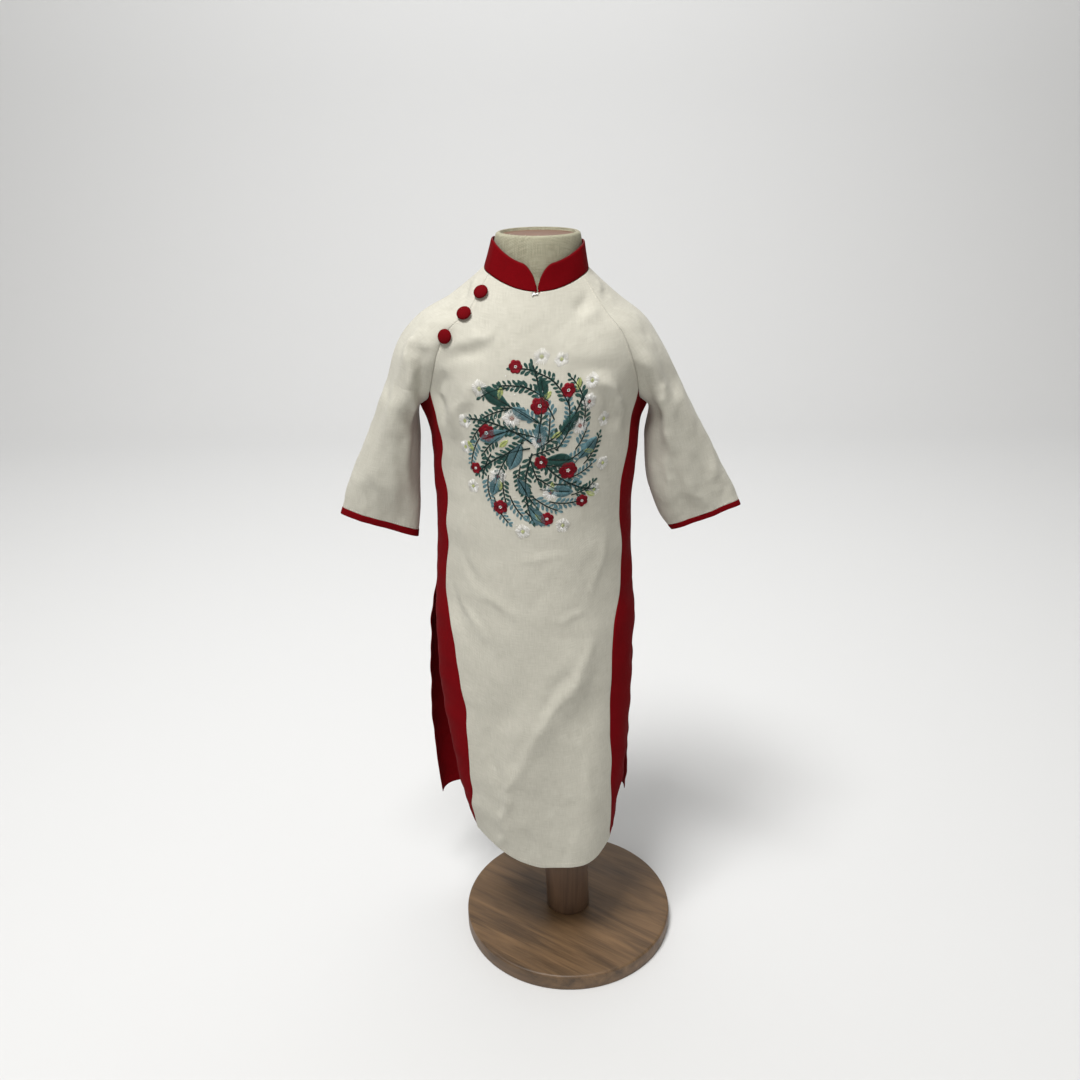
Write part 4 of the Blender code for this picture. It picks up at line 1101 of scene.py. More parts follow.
    def strip_points(self, panel: Rows, edges: Rows, top: Array, side: int) -> Array:
        """Return strip points from its seam to its free edge, on the same oval by angle."""
        down, share = self.lower, self.share
        middle, half = self.oval(edges, down)
        power = panel.read("square", down)
        start = self.seam(panel, edges, down, side)
        begin = np.clip(np.abs(start[:, 0] - middle) / half, 0, 1)
        angle = np.arcsin(begin ** (power / 2))[:, None]
        angle = angle + (math.pi / 2 - angle) * share[None, :]
        bend = (2 / power)[:, None]
        side_y = edges.read("side_y", down)[:, None]
        x = middle[:, None] + side * half[:, None] * np.sin(angle) ** bend
        y = side_y + (panel.read("mid_y", down)[:, None] - side_y) * np.abs(np.cos(angle)) ** bend
        side_z = edges.read("side_z", down)[:, None]
        z = start[:, 2:3] + (side_z - start[:, 2:3]) * share[None, :]
        z = z + self.hem_rise(panel, edges, down[:, None], x)
        grid = np.stack((x, y, z), axis=-1)
        fade = np.clip(1 - (down - down[0]) / UNDERARM_FADE, 0, 1)[:, None, None] ** 2
        return grid + (top - grid[0])[None] * fade

    @staticmethod
    def folded(
        grid: Array, folds: Rows, outward: Triple, down: Array, across: Array, seed: int
    ) -> Array:
        """Push folds out and in: each is a bell curve of the distance from its middle line.

        Every fold swells and thins a little along its line, and fades at the seams; gentle
        uneven swells lie over all.

        Args:
            grid: the piece's points.
            folds: its folds and creases.
            outward: roughly which way the piece faces.
            down: the grid's rows, in the tables' units.
            across: the grid's columns, from -1 to 1.
            seed: which set of uneven swells.
        """
        normals = facing(grid_normals(grid), outward)
        height = np.zeros(grid.shape[:2])
        steps = np.linspace(0, 1, 19)
        for k, (across_a, down_a, across_b, down_b, wide, tall) in enumerate(folds.values):
            across_a, across_b = across_a / 100, across_b / 100
            fold_across = across_a + (across_b - across_a) * steps
            fold_down = down_a + (down_b - down_a) * steps
            sway = FOLD_SWAY * np.sin(2.3 * math.pi * steps + k)
            row = np.interp(fold_down, down, np.arange(len(down)))
            column = np.interp(fold_across + sway, across, np.arange(len(across)))
            path = bilinear(grid, row, column)
            gaps = np.linalg.norm(grid[:, :, None, :] - path[None, None], axis=-1)
            nearest = gaps.argmin(axis=2)
            away = gaps.min(axis=2)
            taper = (0.62 + 0.38 * np.sin(math.pi * steps) ** 0.8)[nearest]
            width = wide * (0.85 + 0.3 * np.sin(3.1 * steps + k) ** 2)[nearest]
            height += tall * taper * np.exp(-((away / width) ** 2))
        u = walked(grid, 1)
        v = np.broadcast_to(down[:, None], u.shape)
        height += SWELL * (ripple(u, v, seed, SWELL_WAVE) + 0.35 * ripple(u, v, seed + 50, RIPPLE_WAVE))
        inset = np.minimum(u, u[:, -1:] - u) / PUCKER_INSET
        puckers = [ripple(0 * v + apart, v, seed + 70, PUCKER_WAVE) for apart in (0.0, 40.0)]
        beside = np.where(u < u[:, -1:] / 2, *puckers)
        height += PUCKER * beside * inset * np.exp(1 - inset)
        edge = np.clip(1 - np.abs(across) ** 6, 0, 1)[None, :]
        top = np.clip(down / NECK_FADE, 0, 1)[:, None]
        return grid + normals * (height * edge * top)[..., None]

    def _sleeves(self) -> dict[tuple[str, int], Array]:
        """Work out sleeves and cuffs; return the unfolded raglan seams."""
        tops = {}
        tables = (
            ("right", -1, SLEEVE_RIGHT, SLEEVE_RIGHT_FOLDS, 3),
            ("left", 1, SLEEVE_LEFT, SLEEVE_LEFT_FOLDS, 4),
        )
        for side_name, side, rows, folds, seed in tables:
            grid = self.sleeve_points(rows, side, self.sleeve_down, self.sleeve_across)
            tops["front", side] = grid[: self.crotch + 1, 0].copy()
            tops["back", side] = grid[: self.crotch + 1, -1].copy()
            outward = (side, 0, 0)
            done = self.folded(grid, folds, outward, self.sleeve_down, self.sleeve_across, seed)
            done += self._gathers(done, outward, seed)
            for edge in (0, -1):
                done[self.corner + 1: self.crotch + 1, edge, 0] += side * SEAM_PART
            name = f"sleeve_{side_name}"
            self.cloths[name] = Cloth(name, done, outward, self.crotch)
            cuff_down = CUFF - BINDING * np.array([1.0, 0.93, 0.83, 0.68, 0.5, 0.32, 0.17, 0.07, 0.0])
            cuff = self.sleeve_points(rows, side, cuff_down, self.sleeve_across)
            cuff += (done[-1] - grid[-1])[None]
            name = f"cuff_{side_name}"
            self.cloths[name] = Cloth(name, cuff, outward, 0, proud=0.4)
        return tops

    def _gathers(self, grid: Array, outward: Triple, seed: int) -> Array:
        """Return small uneven puckers just above the cuff, where the binding eases the cloth."""
        random = np.random.default_rng(seed + 20)
        across = self.sleeve_across
        from_cuff = (self.sleeve_down[-1] - self.sleeve_down)[:, None]
        height = np.zeros(grid.shape[:2])
        for _ in range(GATHERS):
            centre = random.uniform(-0.97, 0.97)
            width = random.uniform(0.010, 0.024)
            reach = random.uniform(4.0, 15.0)
            tall = random.uniform(0.25, 0.75) * random.choice((-1.0, 1.0))
            lean = random.uniform(-0.0015, 0.0015)
            offset = (across[None, :] - centre - lean * from_cuff) / width
            height += tall * np.exp(-(offset ** 2)) * np.exp(-((from_cuff / reach) ** 2))
        height *= np.clip(from_cuff / 2.0, 0.0, 1.0) * np.clip(1 - np.abs(across) ** 10, 0, 1)[None]
        return facing(grid_normals(grid), outward) * height[..., None]

    def _panels(self, tops: dict[tuple[str, int], Array]) -> None:
        """Work out front, back and the side strips between the raglan seams and the hem."""
        lines = (
            ("front", FRONT, FRONT_FOLDS, (0, -1, 0), 1),
            ("back", BACK, BACK_FOLDS, (0, 1, 0), 2),
        )
        for face, panel, folds, outward, seed in lines:
            seams = []
            for side in (-1, 1):
                low = self.seam(panel, self.edges[face], self.lower, side)
                pull = np.clip(1 - (self.lower - UNDERARM)[:, None] / UNDERARM_FADE, 0, 1) ** 2
                low += (tops[face, side][self.corner] - low[0]) * pull
                wave = ripple(0 * self.lower, self.lower, seed + side + 30, SEAM_WAVE_LENGTH)
                low[:, 0] += SEAM_WAVE * wave * (1 - pull[:, 0])
                seams.append(np.concatenate((tops[face, side][: self.corner + 1], low[1:])))
            grid = self.panel_points(panel, self.edges[face], *seams)
            done = self.folded(grid, folds, outward, self.whole, self.panel_across, seed)
            self.cloths[face] = Cloth(f"{face}_panel", done, outward)
            for side_name, side in (("right", -1), ("left", 1)):
                top_line = tops[face, side][self.corner:]
                top_share = np.linspace(0, 1, len(top_line))
                top = np.stack([np.interp(self.share, top_share, top_line[:, k]) for k in range(3)], -1)
                strip = self.strip_points(panel, self.edges[face], top, side)
                column = 0 if side < 0 else -1
                strip[:, 0] = self.cloths[face].grid[self.corner:, column]
                strip += self._flutter(strip, seed * 10 + side)
                strip[0, 1:, 0] -= side * SEAM_PART
                name = f"side_{face}_{side_name}"
                self.cloths[name] = Cloth(name, strip, (side, 0, 0))

    def _flutter(self, strip: Array, seed: int) -> Array:
        """Return slight waves of a strip, still at its seam and at its closed side seam."""
        down = self.lower[:, None]
        share = self.share[None, :]
        free = np.clip((down - VENT) / 40.0, 0, 1)
        loose = share * (1 - share) * 4 * (1 - free) + np.clip(share * 1.6, 0, 1) * free
        height = ripple(share * STRIP_WIDTH + 0 * down, down + 0 * share, seed + 90, STRIP_WIDTH)
        top = np.clip((down - UNDERARM) / 25.0, 0, 1)
        return grid_normals(strip) * (height * loose * top)[..., None]

    def _share(self, *ends: tuple[str, object], lean: Triple = (0, 0, 0)) -> None:
        """Give pieces the same wall direction along a shared seam."""
        total = sum(self.cloths[name].normals[index] for name, index in ends) + np.array(lean)
        for name, index in ends:
            self.cloths[name].normals[index] = unit(total)

    def _share_seams(self) -> None:
        """Share wall directions along raglan, strip and side seams, and aim the underarm's down."""
        yoke, corner = slice(0, self.corner), self.corner
        below, closed = slice(corner + 1, None), slice(1, self.closed_body)
        under, inner, down = slice(corner + 1, self.crotch), slice(1, -1), (0.0, 0.0, -0.8)
        for side_name, column in (("right", 0), ("left", -1)):
            sleeve = f"sleeve_{side_name}"
            strips = [f"side_{face}_{side_name}" for face in ("front", "back")]
            for face, strip, edge in zip(("front", "back"), strips, (0, -1)):
                self._share((face, (yoke, column)), (sleeve, (yoke, edge)))
                self._share((face, (below, column)), (strip, (slice(1, None), 0)))
                self._share((face, (corner, column)), (strip, (0, 0)), (sleeve, (corner, edge)))
                self._share((sleeve, (under, edge)), lean=down)
                self._share((strip, (0, inner)), lean=down)
            self._share(*((strip, (closed, -1)) for strip in strips))
            self._share(
                *((strip, (0, -1)) for strip in strips), (sleeve, (self.crotch, 0)),
                (sleeve, (self.crotch, -1)), lean=(0.0, 0.0, -9.0),
            )

    def build(self, looks: Wardrobe) -> dict[str, Piece]:
        """Make each piece of cloth in place of its node, and return the pieces by name."""
        pieces = {}
        for key, cloth in self.cloths.items():
            look = looks.red if key.startswith(("side", "cuff")) else looks.cream
            pieces[cloth.name] = cloth_piece(cloth, look)
        return pieces


def cloth_piece(cloth: Cloth, look: Material) -> Piece:
    """Make one cloth as a closed wall with its flat measures, in place of its node."""
    outer, inner, faces = cloth.faces_of_wall()
    across, down = cloth.measures()
    flat = np.stack((across, down), -1).reshape(-1, 2) * MM
    points = np.concatenate((outer.reshape(-1, 3), inner.reshape(-1, 3)))
    triangles = np.concatenate((faces[:, [0, 1, 2]], faces[:, [0, 2, 3]]))
    piece = make_piece(f"{cloth.name}_cloth", points, triangles, look, np.concatenate((flat, flat)))
    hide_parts(cloth.name)
    return piece


@dataclass
class Collar:
    """Stand collar: leans in to the neck, its front ends rounded down to a V."""

    height_right: float = 28.5
    height_left: float = 26.0
    height_front: float = 23.5
    height_end: float = 1.5
    level_out: float = 76.0
    end_round: float = 16.0
    lean: float = 0.10
    lean_right: float = 0.30
    lean_left: float = 0.16
    centre: Triple = (4.0, -1.5, 797.0)
    front_depth: float = 20.0
    belly: float = 0.5
    belly_wave: float = 45.0
    start: float = 0.6
    count: int = 241
    # Radius of the piping cord, which also carries a painted highlight along the collar's top edge.
    piping: float = 0.55

    def base_line(self, garment: Garment) -> Array:
        """Return the neckline from the front middle, round by the right, back to the front."""
        middle = int(np.argmin(np.abs(garment.panel_across)))
        front, back = garment.cloths["front"].grid[0], garment.cloths["back"].grid[0]
        right = garment.cloths["sleeve_right"].grid[0]
        left = garment.cloths["sleeve_left"].grid[0]
        runs = (front[middle:0:-1], right[:-1], back[:-1], left[::-1][:-1], front[::-1][:-middle])
        return np.concatenate(runs)

    def build(self, garment: Garment, looks: Wardrobe) -> None:
        """Make the collar and the piping along its upper edge; the piping is a real cord, and its lighter,
        pinker thread is also a painted highlight on that edge.

        Its height is a quarter sine of the distance from each front end, and each column
        runs straight up, tilted inward by the lean.
        """
        neckline = self.base_line(garment)
        length = walked(neckline)[-1]
        share = np.linspace(-1, 1, self.count)
        at = length / 2 + np.sign(share) * np.abs(share) ** 0.8 * (length / 2 - self.start)
        base = points_along(neckline, at)
        inward = unit((self.centre - base) * (1, 1, 0))
        ends = np.minimum(at, length - at) / self.end_round
        corner = np.sin(math.pi / 2 * np.clip(ends, 0, 1) ** 0.75)
        out = base[:, 0] - self.centre[0]
        reach = np.clip((np.abs(out) / out.max()) ** 2, 0, 1)
        share = np.clip(0.5 + out / self.level_out, 0, 1)
        share = share * share * (3 - 2 * share)
        side_height = self.height_right + (self.height_left - self.height_right) * share
        front = np.clip(-base[:, 1] / self.front_depth, 0, 1)
        full = side_height - (side_height - self.height_front) * (1 - reach) * front
        height = self.height_end + (full - self.height_end) * corner
        lean = self.lean + (np.where(out < 0, self.lean_right, self.lean_left) - self.lean) * reach
        direction = unit(inward * lean[:, None] + np.array((0.0, 0.0, 1.0)))
        levels = np.array([0.012, 0.03, 0.07, 0.14, 0.25, 0.38, 0.52, 0.66, 0.78, 0.88, 0.94, 0.975, 1.0])
        outer = base[None] + direction[None] * (levels[:, None] * height)[..., None]
        outer[0] = base + np.array((0.0, 0.0, GAP))
        belly = self.belly * np.sin(math.pi * levels)[:, None] * ripple(at, 0 * at, 71, self.belly_wave)
        outer -= inward * belly[..., None]
        cloth = Cloth("collar", outer[::-1], (0, 0, 0), thickness=COLLAR_CLOTH)
        cloth.normals *= np.sign((cloth.normals * -inward[None]).sum(axis=-1).mean())
        piece = cloth_piece(cloth, looks.red)
        top = cloth.grid[0] - cloth.normals[0] * (COLLAR_CLOTH * 0.5)
        # The piping cord is real; its red thread, lighter and pinker than the collar, is also a painted
        # highlight along the collar's top edge.
        edge = tube("collar_piping_with_painted_highlight", top[2:-2] + direction[2:-2] * 0.1, self.piping, looks.red_sewing)
        width, length, _ = cloth.cut()


def tube(name: str, path: Array, radius: float, look: Material, sides: int = 6) -> Piece:
    """Make a closed round tube along a path of points, its ends pointed.

    Each ring is a circle across the path's slope; the two last rings shrink to a point.
    """
    slope = unit(np.gradient(path, axis=0))
    side = unit(np.cross(slope, np.array((0.13, 0.31, 0.94))))
    other = np.cross(slope, side)
    circle = rays(full_turn(sides)) @ np.stack((side, other), axis=1)
    size = np.full(len(path), radius)
    size[[0, -1]] = radius * 0.35
    rings = path[:, None] + circle * size[:, None, None]
    return closed_lathe(name, rings, look)


@dataclass
class Fastenings:
    """Three cloth-covered buttons along the right raglan seam, and the hook at the collar."""

    radius: float = 7.1
    height: float = 5.9
    clear: float = 0.3
    seats: tuple[tuple[float, float], ...] = ((12.2, 0.4), (31.5, 0.02), (60.0, 0.12))
    coarse_columns: int = 15
    hook_wire: float = 0.45

    def build(self, garment: Garment, looks: Wardrobe) -> list[Piece]:
        """Make the buttons and the hook, and return them."""
        pieces = [self._button(k, seat, garment, looks) for k, seat in enumerate(self.seats, start=1)]
        pieces.append(self._hook(garment, looks))
        return pieces

    def _button(self, number: int, seat: tuple[float, float], garment: Garment, looks: Wardrobe) -> Piece:
        """Make one button: a dome on a shank, its cloth puckered under the rim.

        The rings follow a profile of (radius, height); small radial pleats, a sine of the
        angle, grow from the rim down to the shank.
        """
        cloth = garment.cloths["front"]
        across = -1.0 + seat[1] * 2.0 / (self.coarse_columns - 1)
        row = np.array([np.interp(seat[0], garment.whole, np.arange(len(garment.whole)))])
        column = np.array([np.interp(across, garment.panel_across, np.arange(len(garment.panel_across)))])
        place = bilinear(cloth.grid, row, column)[0]
        axis = unit(bilinear(cloth.normals, row, column)[0])
        aside = unit(np.cross(axis, (0.0, 0.0, 1.0)))
        upward = np.cross(aside, axis)
        turn = np.linspace(0, math.pi / 2, 14)
        dome = np.stack((np.cos(turn), 0.44 + 0.56 * np.sin(turn)), -1)[:-1]
        under = np.array([(0.30, 0.0), (0.32, 0.14), (0.40, 0.22), (0.84, 0.25), (0.95, 0.30), (0.99, 0.37)])
        profile = np.concatenate((under, dome, [(0.05, 0.999)]))
        angle = full_turn(56)
        pleats = 0.020 * np.sin(14 * angle + number) + 0.012 * np.sin(9 * angle + 2 * number)
        below = np.clip((0.62 - profile[:, 1]) / 0.4, 0, 1)[:, None]
        wide = profile[:, :1] * (1 + pleats[None] * below)
        circle = rays(angle) @ np.array((aside, upward))
        rise = (GAP + self.clear + self.height * profile[:, 1])[:, None, None]
        rings = place + axis * rise + circle[None] * (self.radius * wide)[..., None]
        flat = rays(angle) * (wide * self.radius * MM)[..., None]
        piece = closed_lathe(f"button_{number}_covered", rings, looks.button, flat.reshape(-1, 2))
        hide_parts(f"button_{number}")
        return piece

    def _hook(self, garment: Garment, looks: Wardrobe) -> Piece:
        """Make the bent wire hook: two shanks that end in eyes, closed by a round nose."""
        cloth = garment.cloths["front"]
        middle = int(np.argmin(np.abs(garment.panel_across)))
        row = int(np.argmin(np.abs(garment.whole - 1.9)))
        out = unit(cloth.normals[row, middle])
        upward = np.cross((1.0, 0.0, 0.0), out)
        centre = cloth.grid[row, middle] + out * (GAP + self.hook_wire + 0.25)
        turn = np.linspace(-0.5 * math.pi, 0.5 * math.pi, 9)
        nose = np.stack((0.8 * np.cos(turn), 0.55 * np.sin(turn)), -1)
        lower = np.stack((np.linspace(-5.4, 0.0, 8)[:-1], np.full(7, -0.55)), -1)
        eye = np.linspace(0.0, 1.6 * math.pi, 9)
        ring_low = np.stack((-5.4 - 0.8 * np.sin(eye), -1.35 + 0.8 * np.cos(eye)), -1)[::-1]
        upper = lower[::-1] * (1.0, -1.0)
        ring_high = ring_low[::-1] * (1.0, -1.0)
        wire = 0.8 * np.concatenate((ring_low, lower[1:], nose, upper[:-1], ring_high))
        points = centre + wire @ np.array(((1.0, 0.0, 0.0), upward))
        piece = tube("collar_hook_wire", points, self.hook_wire * 0.7, looks.metal, 8)
        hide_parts("collar_hook")
        return piece


@dataclass
class Roundel:
    """Embroidered roundel of a generic garden sprig, in satin, stem and knot stitches.

    Places are in millimetres from the roundel's middle, x towards the wearer's left and y
    up, and lie on the front panel's flat measures.
    """

    centre_across: float = 0.0
    centre_down: float = 149.0
    half_width: float = 70.0
    half_height: float = 86.0
    stitch: float = 0.62
    golden: float = 137.508
    sprig_count: int = 42
    leaf_count: int = 13
    bud_count: int = 11
    seed_count: int = 46
    branch_stem: float = 2.6
    sprig_stem: float = 1.9
    vein: float = 1.1
    # Branches: angle where each leaves the middle, heading away from it, turn, length.
    branches: tuple[tuple[float, ...], ...] = (
        (14, 12, 44, 62), (68, 6, 40, 76), (122, 16, 46, 66),
        (178, 8, 44, 60), (236, 14, 40, 72), (294, 6, 46, 72),
    )
    # Flowers: x, y, radius, petals, turn in degrees.
    blossoms: tuple[tuple[float, ...], ...] = (
        (4, 42, 9.5, 6, 10), (-47, 14, 9.5, 6, 40), (33, -24, 10, 6, 0),
        (-34, -62, 8, 6, 25), (31, 55, 7.5, 6, 50), (6, -14, 7.5, 6, 15),
        (48, -58, 7, 6, 30), (-60, -24, 6.5, 6, 5), (-20, 78, 7, 6, 60),
        (12, -74, 7.5, 6, 20),
    )
    daisies: tuple[tuple[float, ...], ...] = (
        (-22, 30, 10.5, 8, 0), (4, 8, 9.5, 8, 20), (44, 20, 9.5, 8, 10),
        (-36, -30, 10, 8, 15), (16, -46, 9.5, 7, 0), (52, 42, 8.5, 7, 20),
        (4, 88, 9, 5, 12), (23, 84, 8, 5, 40), (71, 22, 8, 5, 20),
        (-54, 54, 8.5, 5, 30), (-71, 22, 8, 5, 0), (71, -22, 8, 5, 50),
        (28, -82, 8.5, 5, 10), (-12, -87, 8.5, 5, 30), (-64, -44, 8, 5, 20),
        (61, -48, 8, 5, 44), (-72, -4, 7.5, 5, 10), (54, 60, 8, 5, 5),
    )

    def build(self, garment: Garment, looks: Wardrobe) -> list[Piece]:
        """Stitch every motif on the front panel, one piece for each thread."""
        sets: dict[Thread, list[Stitches]] = {thread: [] for thread in Thread}
        for angle, heading, turn, length in self.branches:
            path = self._arc(self._place(angle, 0.07), angle + heading, turn, length)
            sets[Thread.STEM].append(self._stem(path, self.branch_stem))
            sets[Thread.PINE].extend(self._spray_leaves(path, 9.0, 0.42, 0.66))
        for k in range(self.sprig_count):
            thread, path, length = self._sprig(k)
            sets[Thread.STEM].append(self._stem(path, self.sprig_stem))
            sets[thread].extend(self._spray_leaves(path, length, 0.46, 0.60))
        for k in range(self.leaf_count):
            thread = (Thread.TEAL, Thread.TEAL, Thread.PINE)[k % 3]
            share = 0.84 * math.sqrt((k + 0.5) / self.leaf_count)
            start, direction = self._swirl(k + 0.45, share, 34.0 + 16.0 * math.sin(2.1 * k))
            length = 27.0 + 4.0 * math.sin(1.3 * k)
            start = start - direction * length / 2
            sets[thread].append(self._leaf(start, start + direction * length, 0.50, 0.55, 0.80))
            line = start + direction * np.linspace(-0.20, 0.84, 14)[:, None] * length
            sets[Thread.STEM].append(self._stem(line, self.vein))
        for k in range(self.bud_count):
            share = 0.94 * math.sqrt((k + 0.8) / self.bud_count)
            start, direction = self._swirl(k + 0.2, share, 60.0 * math.sin(1.9 * k))
            sets[Thread.BUD].append(self._leaf(start, start + direction * 12.0, 0.50, 0.55, 0.66))
        for flower in self.blossoms:
            red, white = self._blossom(flower)
            sets[Thread.CRIMSON].append(red)
            sets[Thread.WHITE].append(white)
        for flower in self.daisies:
            white, middle = self._daisy(flower)
            sets[Thread.WHITE].append(white)
            sets[Thread.CRIMSON if flower[3] > 5 else Thread.BUD].append(middle)
        sets[Thread.WHITE].append(self._seeds())
        cloth = garment.cloths["front"]
        pieces = []
        flip, middle = np.array((1.0, -1.0)), np.array((self.centre_across, self.centre_down))
        for number, (thread, parts) in enumerate(sets.items()):
            made = Stitches.joined(parts)
            laid = Stitches(made.start * flip + middle, made.end * flip + middle, made.width, made.height)
            name = f"embroidery_{thread.name.lower()}"
            pieces.append(stitch_mesh(name, cloth, laid, looks.threads[thread], 200 + number))
        return pieces

    def _place(self, angle: float, share: float) -> Array:
        """Return the place at an angle (degrees) and a share of the roundel's oval."""
        turn = math.radians(angle)
        return share * np.array((self.half_width * math.cos(turn), self.half_height * math.sin(turn)))

    def _swirl(self, turns: float, share: float, heading: float) -> tuple[Array, Array]:
        """Return a place on the golden-angle spiral, and a direction turned from straight out."""
        angle = turns * self.golden
        toward = math.radians(angle + heading)
        return self._place(angle, share), np.array((math.cos(toward), math.sin(toward)))

    def _sprig(self, k: int) -> tuple[Thread, Array, float]:
        """Return one sprig: its thread, its stem and its leaves' length.

        Sprigs sit at even spacing on the spiral, share = 0.9 sqrt((k + 0.6) / count), and
        lie ever more along the border the further out they are.
        """
        share = 0.90 * math.sqrt((k + 0.6) / self.sprig_count)
        heading = 26.0 + 46.0 * share + 9.0 * math.sin(2.4 * k)
        length = 27.0 + 4.0 * math.sin(1.7 * k)
        middle, direction = self._swirl(k, share, heading)
        turned = math.degrees(math.atan2(direction[1], direction[0]))
        path = self._arc(middle - direction * length / 2, turned - 16.0, 36.0 * share, length)
        return Thread.TEAL if k % 5 in (1, 3) else Thread.PINE, path, 8.0

    @staticmethod
    def _arc(start: Array, heading: float, turn: float, length: float) -> Array:
        """Return a line that turns steadily: the running sum of steps at a growing angle."""
        count = 40
        steps = rays(np.radians(heading + turn * np.linspace(0, 1, count))) * length / (count - 1)
        return start + np.cumsum(steps, axis=0) - steps[0]

    def _stem(self, path: Array, width: float) -> Stitches:
        """Stem stitch: short stitches that overlap by half, each a little aslant."""
        points = np.concatenate((evenly(path, 1.5), path[-1:]))
        slope = unit(np.gradient(points, axis=0))
        reach = leftward(slope) * width * 0.22 + slope * 0.6
        return Stitches.of(points[:-1] - reach[:-1], points[1:] + reach[1:], width * 0.72, 0.85)

    def _leaf(self, start: Array, end: Array, wide: float, slant: float, height: float) -> Stitches:
        """Satin leaf: threads from its middle line out to both edges, leaning to the tip.

        Its half width is wide/2 x length x sin(pi t^0.85), and each thread reaches ahead by
        `slant` of its own length.
        """
        axis = end - start
        length = np.linalg.norm(axis)
        forward = axis / length
        aside = leftward(forward)
        t = np.arange(0.04, 0.97, self.stitch / length)
        half = wide / 2 * length * np.sin(math.pi * t ** 0.85)
        inner = start + forward * (t * length)[:, None]
        parts = []
        for sign in (-1.0, 1.0):
            reach = forward * (half * slant)[:, None] + aside * (half * sign)[:, None]
            tip = inner + reach
            tip += forward * np.minimum(0.0, length - (tip - start) @ forward)[:, None]
            parts.append(Stitches.of(inner - reach * 0.06, tip, self.stitch * 1.15, height))
        return Stitches.joined(parts)

    def _spray_leaves(self, path: Array, length: float, wide: float, spacing: float) -> list[Stitches]:
        """Return pairs of small leaves along a spray, smaller towards its tip, and one at the tip."""
        points = evenly(path, length * spacing)[1:]
        slope = unit(np.gradient(points, axis=0))
        parts = []
        for k, (point, forward) in enumerate(zip(points, slope)):
            size = length * (1.0 - 0.45 * k / len(points))
            for sign in (-1.0, 1.0):
                heading = forward * 0.66 + leftward(forward) * sign * 0.75
                start = point + heading * 0.5 + forward * (0.8 * sign)
                parts.append(self._leaf(start, start + heading * size, wide, 0.9, 0.45))
        parts.append(self._leaf(path[-1], path[-1] + slope[-1] * length * 0.8, wide, 0.9, 0.45))
        return parts

    def _blossom(self, flower: Sequence[float]) -> tuple[Stitches, Stitches]:
        """Red flower: radial satin to a petalled edge, round a cluster of white knots.

        The edge's radius is radius x (0.78 + 0.22 |cos(petals x angle / 2)|^0.6).
        """
        x, y, radius, petals, turn = flower
        angle = full_turn(int(2 * math.pi * radius / self.stitch * 1.1))
        edge = radius * (0.78 + 0.22 * np.abs(np.cos(petals * (angle - math.radians(turn)) / 2)) ** 0.6)
        ray = rays(angle)
        reach = ray * edge[:, None]
        middle = np.array((x, y))
        outer = Stitches.of(middle + reach * 0.45, middle + reach, self.stitch * 1.25, 0.75)
        half = slice(0, None, 2)
        inner = Stitches.of(
            middle + ray[half] * radius * 0.16, middle + reach[half] * 0.60, self.stitch * 1.3, 0.825
        )
        return Stitches.joined((outer, inner)), self._knots(middle, radius * 0.15, 5)

    def _daisy(self, flower: Sequence[float]) -> tuple[Stitches, Stitches]:
        """White flower: each petal is a fan of long stitches from near its middle."""
        x, y, radius, petals, turn = flower
        middle = np.array((x, y))
        parts = []
        spread = radius * math.sin(math.pi / petals) * 0.72
        offsets = np.linspace(-1, 1, 5)
        reach = radius * (1 - 0.22 * offsets ** 2)
        for ray in rays(full_turn(int(petals)) + math.radians(turn)):
            aside = leftward(ray)
            start = middle + ray * radius * 0.18 + aside * (offsets * spread * 0.25)[:, None]
            end = middle + ray * reach[:, None] + aside * (offsets * spread)[:, None]
            parts.append(Stitches.of(start, end, self.stitch * 1.25, 0.6))
        return Stitches.joined(parts), self._knots(middle, radius * 0.12, 4)

    @staticmethod
    def _knots(middle: Array, radius: float, count: int) -> Stitches:
        """French knots round a middle: two crossed short stitches each."""
        centres = middle + radius * rays(full_turn(count))
        across = np.array(((0.62, 0.1), (-0.1, 0.62)))
        start = np.concatenate([centres - step for step in across])
        end = np.concatenate([centres + step for step in across])
        return Stitches.of(start, end, 0.95, 1.25)

    def _seeds(self) -> Stitches:
        """Scattered small white seed stitches, kept inside the roundel's oval."""
        random = np.random.default_rng(5)
        angle = random.uniform(0, 2 * math.pi, self.seed_count)
        share = random.uniform(0.45, 0.98, self.seed_count)
        centres = rays(angle) * share[:, None] * (self.half_width, self.half_height)
        step = rays(random.uniform(0, math.pi, self.seed_count)) * 0.8
        return Stitches.of(centres - step, centres + step, 0.8, 0.6)


